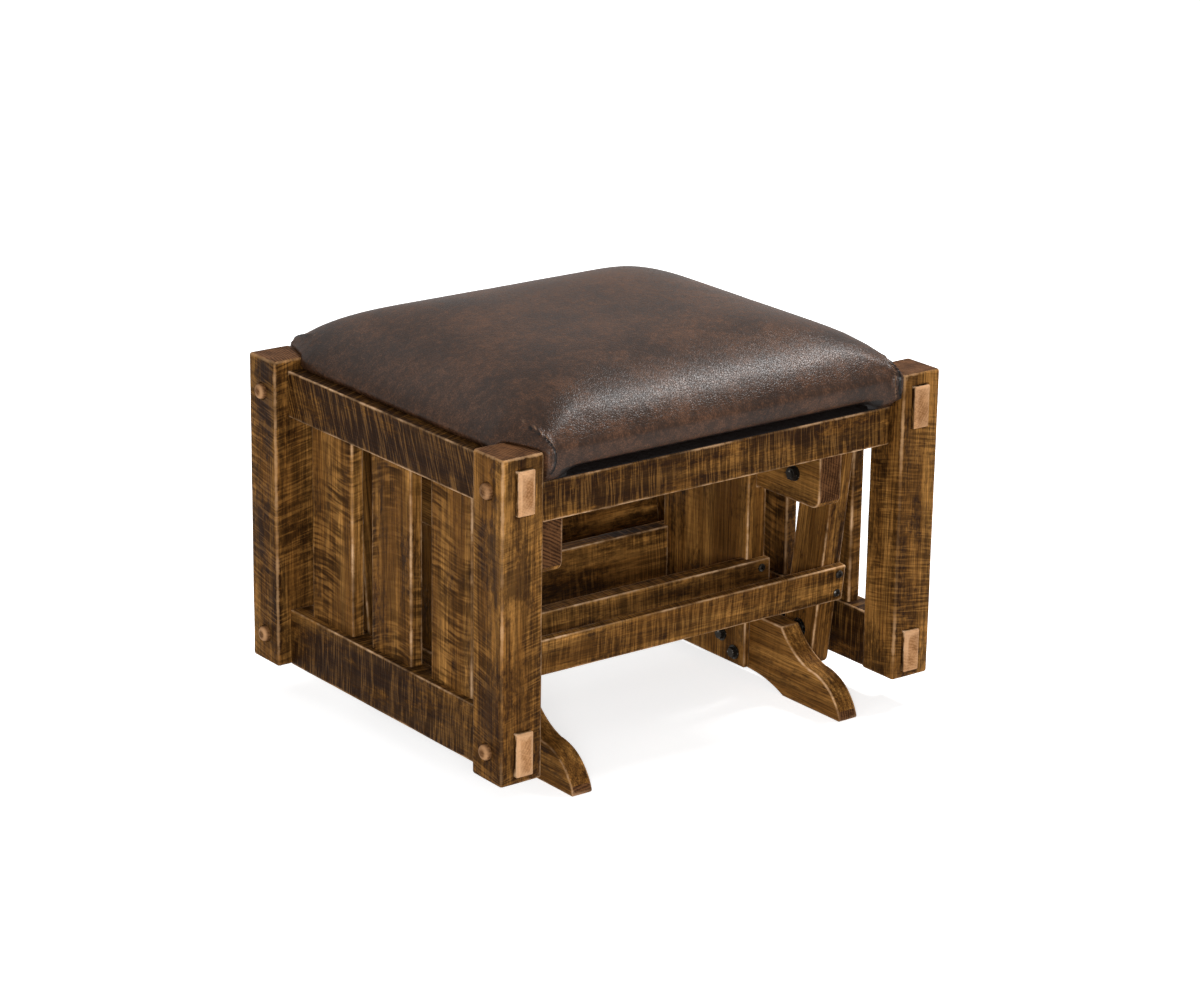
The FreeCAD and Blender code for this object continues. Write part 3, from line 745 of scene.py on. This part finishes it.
post_wood = wood("post wood", 0.48, 0.66, (0.0040, 0.20, 0.62), 0.50, 1.1, (1.0, 0.0032))
top_rail_wood = wood("top rail wood", 0.63, 0.20, (0.0038, -0.35, 0.72), 0.34, 0.7, (0.8, 0.0026))
rail_wood = wood("rail wood", 0.58, 0.48, (0.0030, 0.03, 0.68), 0.38, 0.6, (0.9, 0.0026))
stretcher_wood = wood("stretcher wood", 0.49, 0.95, (0.0030, 0.05, 0.60), 0.46, 0.7, (0.9, 0.0026))
slat_wood = wood("slat wood", 0.43, 0.78, (0.0068, -0.15, 0.85), 0.51, 1.1, (1.0, 0.0032), bow=0.007)
smooth_wood = wood("planed wood", 0.42, 0.70, (0.006, 0.08, 0.25), 0.6, 1.1, (0.9, 0.0028))
board_end = finished("board end", end_grain, 0.5, 0.0004, wood_shader)
tenon_end = cut_end("tenon end", 0.35, (0.22, 0.098, 0.036, 1), (0.48, 0.248, 0.110, 1),
                    (0.66, 0.39, 0.21, 1), 0.10, 0.30)
peg_end = cut_end("peg end", 0.4, (0.050, 0.021, 0.008, 1), (0.21, 0.098, 0.038, 1), (0.60, 0.33, 0.16, 1),
                  0.12, 0.25)
dark_steel = finished("dark steel", fastener_metal, 0.25, 0.0002, steel_shader, dirt=0.70)
bearing_metal = finished("bearing steel", fastener_metal, 0.25, 0.0002, steel_shader,
                         clean=(0.46, 0.44, 0.40, 1), dirt=0.62)
cover_leather = finished("cover leather", leather, 0.40, 0.00055, leather_shader)


# Wooden pieces

def mortise(side_x, z, y_face, way):
    """Cutter for a tenon's mortise, flared at the post's face."""
    x0, x1 = side_x
    half = tenon_height / 2 + joint_gap

    def corners_at(growth, depth):
        a, b = x0 - joint_gap - growth, x1 + joint_gap + growth
        y, low, high = y_face + way * depth, z - half - growth, z + half + growth
        return [(a, y, low), (b, y, low), (b, y, high), (a, y, high)]

    return flared_hole(corners_at, [(-0.001, 2 * rim_flare), (rim_flare, 0.0), (0.020, 0.0)])


def round_ring(x, y, z, radius, count=40):
    """Places round a line along X."""
    turns = [TURN * k / count for k in range(count)]
    return [(x, y + radius * math.cos(turn), z + radius * math.sin(turn)) for turn in turns]


def peg_hole(face_x, way, y, z):
    """Cutter for a peg's hole, flared at the post's face."""

    def corners_at(growth, depth):
        radius = peg_radius + joint_gap + growth
        return round_ring(face_x + way * depth, y, z, radius)

    return flared_hole(corners_at, [(-0.001, 1.6 * rim_flare), (0.8 * rim_flare, 0.0), (0.012, 0.0)])


def rail_mids(label):
    low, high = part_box(label + "_bottom_rail")
    top_low, top_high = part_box(label + "_top_rail")
    return (low.z + high.z) / 2, (top_low.z + top_high.z) / 2


def posts():
    for label, side in SIDES:
        outer = outer_face(*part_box(label + "_top_rail"), side)
        tenon = sorted((outer, outer - side * tenon_thick))
        for end_label, end in ENDS:
            name = label + "_" + end_label + "_post"
            low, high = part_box(name)
            cutters = []
            for z in rail_mids(label):
                cutters.append(mortise(tenon, z, high.y if end > 0 else low.y, -end))
                cutters.append(peg_hole(outer_face(low, high, side), -side, (low.y + high.y) / 2, z))
            board(name, bar(low, high), "seat_frame", Z, (side, 0, 0), post_wood, board_end, 0.0030, 0.0004,
                  cutters)


def side_rails():
    for label, side in SIDES:
        for kind, finish in (("top", top_rail_wood), ("bottom", rail_wood)):
            name = label + "_" + kind + "_rail"
            low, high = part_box(name)
            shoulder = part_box(label + "_back_post")[0].y
            tip = high.y
            outer = outer_face(low, high, side)
            x0, x1 = sorted((outer, outer - side * tenon_thick))
            middle = (low.z + high.z) / 2
            z0, z1 = middle - tenon_height / 2, middle + tenon_height / 2
            b = tenon_bevel
            sections = [(-tip, x0 + b, x1 - b, z0 + b, z1 - b), (b - tip, x0, x1, z0, z1),
                        (-shoulder, x0, x1, z0, z1), (-shoulder, low.x, high.x, low.z, high.z)]
            sections += [(-y, *rest) for y, *rest in reversed(sections)]
            piece = board(name, stepped_bar(sections), "seat_frame", Y, Z, finish, tenon_end, 0.0009, 0.0002)
            mark_tenon_ends(piece, shoulder)


def mark_tenon_ends(piece, shoulder):
    """A tenon's proud end, with its bevels, is lighter than the rail and its own sides."""
    for face in piece.data.polygons:
        face.material_index = 1 if abs(face.center.y) > shoulder + 0.01 and abs(face.normal.y) > 0.3 else 0


def slats():
    for label, side in SIDES:
        for place in ("front", "middle", "back"):
            name = label + "_" + place + "_slat"
            low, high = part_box(name)
            if place == "back":
                high = Vector((high.x, high.y + slat_overhang, high.z))
            board(name, bar(low, high), "seat_frame", Z, (0, side, 0), slat_wood, board_end, 0.0022, 0.0003)


def pegs():
    for label, side in SIDES:
        low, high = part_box(label + "_pegs")
        face = outer_face(low, high, side)
        bm = bmesh.new()
        for z in rail_mids(label):
            for y in (low.y + peg_radius, high.y - peg_radius):
                peg(bm, face, side, y, z)
        mesh = mesh_from(label + "_pegs", bm)
        wavy(mesh, 0.00015, 5)
        samples = [v.co.copy() for v in mesh.vertices if abs(abs(v.co.x) - abs(face) + 0.0012) < 0.0009]
        mark_wood(mesh, grain_turn(X, Y), Vector((0, 0, 0)), samples, 31 + side)
        mesh.materials.append(peg_end)
        mesh.shade_smooth()
        settle(new_object(label + "_round_pegs", mesh), "seat_frame", label + "_pegs")


def peg(bm, face, side, y, z):
    """A round peg with a domed end, turned about X."""
    profile = [(0.0030, 0.0001), (0.0055, 0.0006), (0.0070, 0.0015), (0.0080, 0.0028), (peg_radius, 0.0042),
               (peg_radius, 0.0060), (peg_radius, 0.014)]
    circles = [round_ring(face - side * depth, y, z, radius) for radius, depth in profile]
    rings = [[bm.verts.new(co) for co in circle] for circle in circles]
    tip = bm.verts.new((face, y, z))
    faces = []
    for k in range(len(rings[0])):
        j = (k + 1) % len(rings[0])
        faces.append(bm.faces.new((tip, rings[0][k], rings[0][j])))
        for first, second in zip(rings, rings[1:]):
            faces.append(bm.faces.new((first[k], second[k], second[j], first[j])))
    faces.append(bm.faces.new(rings[-1]))
    bmesh.ops.recalc_face_normals(bm, faces=faces)


def seat_rails():
    for label, _ in ENDS:
        profiled(label + "_seat_rail", 2, "seat_frame", X, Z, rail_wood, 0.0018, 0.0003)


def profiled(name, axis, body, along, across, finish, ease=0.0016, wave=0.00022):
    """A board cut to the outline that its solid has along an axis."""
    low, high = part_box(name)
    shape = prism(outline(name, axis), axis, low[axis], high[axis])
    board(name, shape, body, along, across, finish, board_end, ease, wave)


def pivot_line(node, end):
    """Where the pivots of one height stand: their boxes are as high as they are deep."""
    low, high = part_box(node)
    return Vector((0, end * (high.y - (high.z - low.z) / 2), (low.z + high.z) / 2))


def slanted_along(end):
    """The way that an arm runs, from its lower pivot to its upper one."""
    return (pivot_line("upper_pivot_bolts", end) - pivot_line("lower_pivot_studs", end)).normalized()


def base_and_arms():
    for label, _ in SIDES:
        profiled(label + "_foot", 0, "base", Y, Z, smooth_wood, 0.0018)
        profiled(label + "_upright", 1, "base", Z, Y, smooth_wood)
        profiled(label + "_hanger_rail", 0, "base", Y, Z, smooth_wood)
        name = label + "_seat_cleat"
        board(name, bar(*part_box(name)), "seat_frame", Y, Z, smooth_wood, board_end, 0.0014)
        for end_label, end in ENDS:
            slant = slanted_along(end)
            profiled(label + "_" + end_label + "_arm", 0, end_label + "_swing", slant, (0, slant.z, -slant.y),
                     smooth_wood)
    for label, end in ENDS:
        stretcher(label + "_stretcher", end)
        profiled(label + "_cross_board", 0, label + "_swing", X, Z, stretcher_wood)


def stretcher(name, end):
    """A stretcher lapped over the uprights' edges: thicker between them, and down to just above the feet."""
    low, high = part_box(name)
    foot_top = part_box("left_foot")[1].z
    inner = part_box("right_upright")[0].x
    face = high.y if end > 0 else -low.y
    back = low.y if end > 0 else -high.y
    steps = [(-high.x, face), (-high.x, back), (-inner, back), (-inner, back - stretcher_body)]
    steps += [(-x, y) for x, y in reversed(steps)]
    points = [Vector((x, end * y, 0)) for x, y in steps]
    shape = prism(points, 2, foot_top + joint_gap, high.z)
    board(name, shape, "base", X, Z, stretcher_wood, board_end, 0.0012)


def seat_board():
    board("seat_board", bar(*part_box("seat_board")), "seat_frame", X, Y, smooth_wood, board_end, 0.0008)


# Steel fasteners

def islands(node):
    """The loose solids of a node: for each, its vertices' places, in the same order on each run."""
    bm = bmesh.new()
    bm.from_mesh(frame["nodes"][node].data)
    bmesh.ops.remove_doubles(bm, verts=bm.verts, dist=1e-6)
    left = dict.fromkeys(bm.verts)
    found = []
    while left:
        group, reached = [], [next(iter(left))]
        left.pop(reached[0])
        while reached:
            vert = reached.pop()
            group.append(vert.co.copy())
            for other in (e.other_vert(vert) for e in vert.link_edges):
                if other in left:
                    left.pop(other)
                    reached.append(other)
        found.append(group)
    bm.free()
    return found


def screw_line(group):
    """The middle of a screw's head, outside, the way it points outwards, and the screw's length."""
    along = max(range(3), key=lambda i: max(co[i] for co in group) - min(co[i] for co in group))
    ends = []
    for sign in (1, -1):
        most = max(co[along] * sign for co in group)
        points = [co for co in group if co[along] * sign > most - 0.0009]
        middle = sum(points, Vector()) / len(points)
        ends.append((max((co - middle).length for co in points), middle))
    tip, outer = [middle for _, middle in sorted(ends, key=lambda end: end[0])]
    return outer, (outer - tip).normalized(), (outer - tip).length


def turned(bm, profile, centre, axis, sides):
    """A shape turned about an axis, from (radius, height, lobes) rows: lobes draw a socket's sides in."""
    across = axis.orthogonal().normalized()
    over = axis.cross(across)
    rings = []
    for radius, height, lobes in profile:
        ring = []
        for k in range(sides):
            turn = TURN * k / sides
            reach = radius * (1 - lobes * (0.5 - 0.5 * math.cos(4 * turn)))
            ring.append(centre + axis * height + across * reach * math.cos(turn)
                        + over * reach * math.sin(turn))
        rings.append(ring)
    bridge(bm, rings)


def round_head(length):
    """A round-head screw from its recess's floor outwards, over its head and down its shank."""
    radius, height, shank = screw_head_radius, screw_head_height, screw_shank_radius
    head = [(0.10, 0.05, 0.0), (0.36, 0.10, 0.55), (0.46, 0.85, 0.55), (0.58, 0.97, 0.20), (0.70, 0.93, 0.0),
            (0.86, 0.72, 0.0), (0.97, 0.38, 0.0), (1.0, 0.06, 0.0)]
    rows = [(share * radius, rise * height, lobes) for share, rise, lobes in head]
    rows += [(radius, 0.0, 0.0), (shank, 0.0, 0.0), (shank, -length * 0.86, 0.0), (shank * 0.2, -length, 0.0)]
    return rows


def screws(node, body):
    """Round-head screws with a cross-shaped recess, one for each of a node's solids."""
    bm = bmesh.new()
    for group in islands(node):
        outer, axis, length = screw_line(group)
        seat = outer - axis * screw_head_height
        turned(bm, round_head(length - screw_head_height), seat, axis, 32)
    bmesh.ops.recalc_face_normals(bm, faces=bm.faces)
    mesh = mesh_from(node + "_round", bm)
    mesh.materials.append(dark_steel)
    mesh.shade_smooth()
    mesh.set_sharp_from_angle(angle=math.radians(40))
    settle(new_object(node + "_round", mesh), body, node)


def fasteners():
    screws("front_cross_screws", "front_swing")
    screws("back_cross_screws", "back_swing")
    screws("stretcher_screws", "base")
    for name, piece in frame["nodes"].items():
        if any(word in name for word in ("bolt", "screw", "nut", "stud", "washer", "spacer")):
            dress(piece, dark_steel)
        elif "bearing" in name:
            dress(piece, bearing_metal)


def dress(piece, finish):
    for slot in piece.material_slots:
        slot.material = finish


# Cushion

def arc_points(start, middle, end, count):
    """Points along the arc through three places in a plane."""
    ax, ay = start
    bx, by = middle
    cx, cy = end
    d = 2 * (ax * (by - cy) + bx * (cy - ay) + cx * (ay - by))
    a2, b2, c2 = ax * ax + ay * ay, bx * bx + by * by, cx * cx + cy * cy
    ox = (a2 * (by - cy) + b2 * (cy - ay) + c2 * (ay - by)) / d
    oy = (a2 * (cx - bx) + b2 * (ax - cx) + c2 * (bx - ax)) / d
    radius = math.hypot(ax - ox, ay - oy)
    first = math.atan2(ay - oy, ax - ox)
    sweep = (math.atan2(cy - oy, cx - ox) - first + math.pi) % TURN - math.pi
    turns = [first + sweep * k / count for k in range(count + 1)]
    return [(ox + radius * math.cos(turn), oy + radius * math.sin(turn)) for turn in turns]


def cushion_outline():
    """The cushion's outline at the post tops: bulging sides drawn in between the posts, tight corners."""
    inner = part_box("right_front_post")[0].x
    pleat = cushion_pleat_radius
    bend = pleat * (1 - math.sqrt(0.5))
    start = (cushion_half_width, cushion_half_depth - cushion_corner_length)
    turn = (inner, cushion_half_depth - pleat)
    bow = ((start[0] + turn[0]) / 2 + cushion_corner_bow, (start[1] + turn[1]) / 2 + cushion_corner_bow / 3)
    nook = (turn[0] - bend, cushion_half_depth - bend)
    stop = (turn[0] - pleat, cushion_half_depth)
    flat = [(stop[0] - fold_span * k / fold_columns, cushion_half_depth) for k in range(1, fold_columns + 1)]
    corner = arc_points(start, bow, turn, 16)[:-1] + arc_points(turn, nook, stop, 12) + flat
    points = []
    for sx, sy in ((1, 1), (-1, 1), (-1, -1), (1, -1)):
        run = [(sx * x, sy * y) for x, y in corner]
        if sx * sy < 0:
            run.reverse()
        if points:
            points += between(points[-1], run[0], 64 if sx * sy < 0 else 48)
        points += run
    points += between(points[-1], points[0], 48)
    return points


def between(start, end, count):
    return [(start[0] + (end[0] - start[0]) * k / count, start[1] + (end[1] - start[1]) * k / count)
            for k in range(1, count)]


def softened(points, reach):
    """A closed outline with each point averaged over a stretch of it, which rounds its corners."""
    runs = [0.0]
    for first, second in zip(points, points[1:] + points[:1]):
        runs.append(runs[-1] + math.dist(first, second))
    whole = runs[-1]

    def at(place):
        place %= whole
        i = min(bisect.bisect_right(runs, place), len(points)) - 1
        share = (place - runs[i]) / max(1e-9, runs[i + 1] - runs[i])
        (x0, y0), (x1, y1) = points[i], points[(i + 1) % len(points)]
        return x0 + (x1 - x0) * share, y0 + (y1 - y0) * share

    weights = [(k / 6, 7 - abs(k)) for k in range(-6, 7)]
    total = sum(weight for _, weight in weights)
    soft = []
    for run in runs[:-1]:
        near = [(at(run + reach * step), weight) for step, weight in weights]
        soft.append((sum(x * w for (x, _), w in near) / total, sum(y * w for (_, y), w in near) / total))
    return soft


def crown_ring(level, share):
    """One ring of the crown: the outline's corners round off as it rises."""
    height = cushion_top_base() + cushion_crown * level
    ring = softened(cushion_outline(), cushion_corner_soft * level)
    return [Vector((x * share, y * share, height)) for x, y in ring]


def smooth_step(value):
    value = max(0.0, min(1.0, value))
    return value * value * (3 - 2 * value)


def bell(value, width):
    return math.exp(-(value / width) ** 2)


def cushion_top_base():
    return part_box("right_front_post")[1].z + soft_gap


def cushion_rows():
    """The cushion's rings, from the middle of its crown down and round to the seat board."""
    rings = []
    for share in (0.05, 0.11, 0.17, 0.23, 0.29, 0.35, 0.41, 0.47, 0.53, 0.58, 0.63, 0.68, 0.72):
        rings.append(crown_ring((1 - share ** crown_square) ** (1 / crown_round), share))
    for level in (0.74, 0.68, 0.62, 0.56, 0.50, 0.44, 0.38, 0.32, 0.26, 0.21, 0.16, 0.12, 0.08, 0.04, 0.01):
        rings.append(crown_ring(level, (1 - level ** crown_round) ** (1 / crown_square)))
    return rings + cushion_skirt(cushion_top_base())


def cushion_skirt(base):
    """Rows below the crown: down the front and back, over the side rails, and clear of the posts."""
    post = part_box("right_back_post")[0]
    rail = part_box("right_top_rail")
    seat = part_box("seat_board")
    points = cushion_outline()
    rings = []
    depths = ((0.002, 0.0), (0.005, 0.0), (0.008, 0.0001), (0.011, 0.0002), (0.014, 0.0004),
              (0.017, 0.0007), (0.020, 0.0012), (0.023, 0.0019), (0.026, 0.0028), (0.029, 0.0042),
              (0.0315, 0.0062), (0.0335, 0.0090), (0.0350, 0.0130))
    for depth, tuck in depths:
        ring = []
        for x, y in points:
            lift = smooth_step((post.x - 0.012 - abs(x)) / 0.03) if tuck < 0.010 else 0.0
            share = 1 - tuck * (1 + lift) / cushion_half_depth
            px, py, z = x * share, y * share, base - depth * (1 - skirt_lift * lift)
            if abs(py) > post.y - soft_gap:
                px = math.copysign(min(abs(px), post.x - soft_gap), px)
            elif abs(px) > post.x - soft_gap:
                low = rail[1].z + soft_gap
                if z < low + 0.003:
                    under = min(1.0, (low + 0.003 - z) / 0.024)
                    px = math.copysign(abs(px) + (post.x - soft_gap - abs(px)) * under, px)
                    z = max(low, z)
            ring.append(Vector((px, py, z)))
        rings.append(ring)
    for z, clear in ((seat[0].z + 0.0004, 0.002), (seat[0].z + 0.0002, 0.0006), (seat[1].z + 0.0004, 0.0006)):
        wide, deep = seat[1].x + clear, seat[1].y + clear
        rings.append([Vector((max(-wide, min(wide, x)), max(-deep, min(deep, y)), z)) for x, y in points])
    return rings


def cushion_mesh():
    rings = cushion_rows()
    bm = bmesh.new()
    loops = [[bm.verts.new(co) for co in ring] for ring in rings]
    top = bm.verts.new((0, 0, rings[0][0].z + 0.0001))
    count = len(loops[0])
    for k in range(count):
        j = (k + 1) % count
        bm.faces.new((top, loops[0][j], loops[0][k]))
        for first, second in zip(loops, loops[1:]):
            bm.faces.new((first[k], first[j], second[j], second[k]))
    bm.faces.new(loops[-1])
    bmesh.ops.remove_doubles(bm, verts=bm.verts, dist=2e-5)
    bmesh.ops.recalc_face_normals(bm, faces=bm.faces)
    return mesh_from("cushion_cover", bm)


def swollen(piece):
    """The cover's places, and how far each moves when its padding is let swell."""
    copy = new_object("swelling", piece.data.copy())
    remesh = copy.modifiers.new("even", "REMESH")
    remesh.mode = "VOXEL"
    remesh.voxel_size = swell_grid
    even = changed(copy)
    copy.modifiers.clear()
    copy.data = even
    rest = [v.co.copy() for v in even.vertices]
    cloth = copy.modifiers.new("cloth", "CLOTH")
    skin = cloth.settings
    skin.use_pressure = True
    skin.uniform_pressure_force = 4
    skin.effector_weights.gravity = 0
    skin.tension_stiffness = 12
    skin.bending_stiffness = 1.5
    cloth.point_cache.frame_end = swell_steps
    for step in range(1, swell_steps + 1):
        bpy.context.scene.frame_set(step)
    moves = [v.co - start for v, start in zip(changed(copy).vertices, rest)]
    bpy.data.objects.remove(copy)
    bpy.context.scene.frame_set(1)
    return rest, moves


def swell(piece):
    """Lets the cover follow its swelling, by so much at most, and not where it lies on the frame."""
    rest, moves = swollen(piece)
    tree = search_tree(rest)
    base = cushion_top_base()
    for vert in piece.data.vertices:
        near = tree.find_n(vert.co, 6)
        move = sum((moves[i] for _, i, _ in near), Vector((0, 0, 0))) / len(near)
        move *= smooth_step((vert.co.z - base + 0.004) / 0.022)
        if move.length > swell_cap:
            move *= swell_cap / move.length
        vert.co += move


def fold_corners(piece):
    """The cover's front and back panels fold over its sides at each corner: a tuck, then a rolled edge. It
    marks painted shade in each fold's groove and a painted highlight on its lip, and painted shade on the
    band under the roll.
    """
    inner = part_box("right_front_post")[0].x
    base = cushion_top_base()
    low, high = base + fold_low, base + fold_high
    painted_light = [0.0] * len(piece.data.vertices)
    for vert in piece.data.vertices:
        x, y, z = vert.co
        # Painted shade: the lower band under the roll, between the posts, is marked to go dark
        under = smooth_step((base - painted_shade_depth - z) / 0.004)
        painted_light[vert.index] = under * smooth_step((inner - 0.014 - abs(x)) / 0.02)
        if not low < z < high or abs(y) < cushion_half_depth * 0.80:
            continue
        rise = (z - low) / (high - low)
        width = fold_width * math.sin(math.pi * min(1.0, rise ** 0.8)) ** 0.7
        past = (inner - abs(x)) - width
        if past > 0.016 or inner - abs(x) < -0.004:
            continue
        strength = smooth_step(min(rise, 1 - rise) / 0.16)
        tuck = fold_tuck * smooth_step((past + width) / 0.004) * (1 - smooth_step((past + 0.0012) / 0.0018))
        groove = fold_groove * bell(past + 0.0016, 0.0014)
        lip = fold_lip * bell(past - 0.0014, 0.0017)
        vert.co.y += math.copysign(strength * (lip - tuck - groove), y)
        # Painted light: shade in the groove, a highlight on the lip
        painted_light[vert.index] = strength * (bell(past + 0.0016, 0.0015) - 0.8 * bell(past - 0.0008, 0.0011))
    marks = piece.data.attributes.new("painted_light", "FLOAT", "POINT")
    marks.data.foreach_set("value", painted_light)


def cushion():
    mesh = cushion_mesh()
    place = mesh.attributes.new("place", "FLOAT_VECTOR", "POINT")
    place.data.foreach_set("vector", [number for vert in mesh.vertices for number in vert.co])
    mesh.materials.append(cover_leather)
    mesh.shade_smooth()
    piece = new_object("cushion_cover", mesh)
    swell(piece)
    fold_corners(piece)
    settle(piece, "seat_frame", "cushion")


# Studio

def camera():
    data = bpy.data.cameras.new("camera")
    data.sensor_width = sensor_width
    data.lens = focal_pixels * sensor_width / photo_width
    data.clip_start, data.clip_end = 0.05, 60
    piece = new_object("camera", data)
    sin_a, cos_a = math.sin(camera_azimuth), math.cos(camera_azimuth)
    sin_p, cos_p = math.sin(camera_pitch), math.cos(camera_pitch)
    ahead = Vector((sin_a * cos_p, cos_a * cos_p, -sin_p))
    level = Vector((cos_a, -sin_a, 0))
    down = ahead.cross(level)
    right = math.cos(camera_roll) * level + math.sin(camera_roll) * down
    up = math.sin(camera_roll) * level - math.cos(camera_roll) * down
    turn = Matrix((right, up, -ahead)).transposed().to_4x4()
    piece.matrix_world = Matrix.Translation(camera_place) @ turn
    bpy.context.scene.camera = piece


def lamp(name, place, size, power):
    """A rectangular lamp turned to the middle of the ottoman."""
    data = bpy.data.lights.new(name, "AREA")
    data.shape = "RECTANGLE"
    data.size, data.size_y = size
    data.energy = power
    piece = new_object(name, data)
    piece.location = place
    piece.rotation_mode = "QUATERNION"
    piece.rotation_quaternion = (lamp_target - Vector(place)).to_track_quat("-Z", "Y")


def shown_to_camera(t):
    """One where a ray comes from the camera, a mirror or glass."""
    rays = t.node("ShaderNodeLightPath").outputs
    direct = t.plus(rays["Is Camera Ray"], rays["Is Glossy Ray"])
    return t.plus(direct, rays["Is Transmission Ray"], clamp=True)


def world():
    made = bpy.data.worlds.new("studio")
    bpy.context.scene.world = made
    t = empty_tree(made)
    soft = t.fed("ShaderNodeBackground", {"Strength": soft_light})
    white = t.fed("ShaderNodeBackground", {"Color": (1, 1, 1, 1), "Strength": 1.0})
    both = t.join("ShaderNodeMixShader", soft, white, shown_to_camera(t))
    t.fed("ShaderNodeOutputWorld", {0: both.outputs[0]})


def floor():
    bm = bmesh.new()
    bmesh.ops.create_circle(bm, cap_ends=True, segments=96, radius=floor_radius)
    piece = new_object("floor", mesh_from("floor", bm))
    made = bpy.data.materials.new("pale floor")
    t = empty_tree(made)
    paint = t.fed("ShaderNodeBsdfDiffuse", {"Color": floor_grey})
    place = t.node("ShaderNodeNewGeometry").outputs["Position"]
    far = t.span(t.length(place), *floor_fade, floor_glow, 1.0)
    glow = t.fed("ShaderNodeEmission", {"Strength": t.times(shown_to_camera(t), far)})
    both = t.join("ShaderNodeAddShader", paint, glow)
    t.fed("ShaderNodeOutputMaterial", {0: both.outputs[0]})
    piece.data.materials.append(made)


def studio():
    bpy.context.scene.view_settings.view_transform = "Standard"
    camera()
    world()
    floor()
    lamp("key", (1.75, -0.05, 2.50), (0.9, 0.6), 90)
    lamp("front_fill", (-1.9, -2.8, 0.95), (1.0, 0.8), 68)
    lamp("left_fill", (-2.7, -0.8, 1.2), (1.4, 1.0), 13)
    lamp("back_strip", (-0.6, 2.2, 2.0), (2.4, 0.8), 8)


studio()
posts()
side_rails()
slats()
pegs()
seat_rails()
base_and_arms()
seat_board()
fasteners()
cushion()
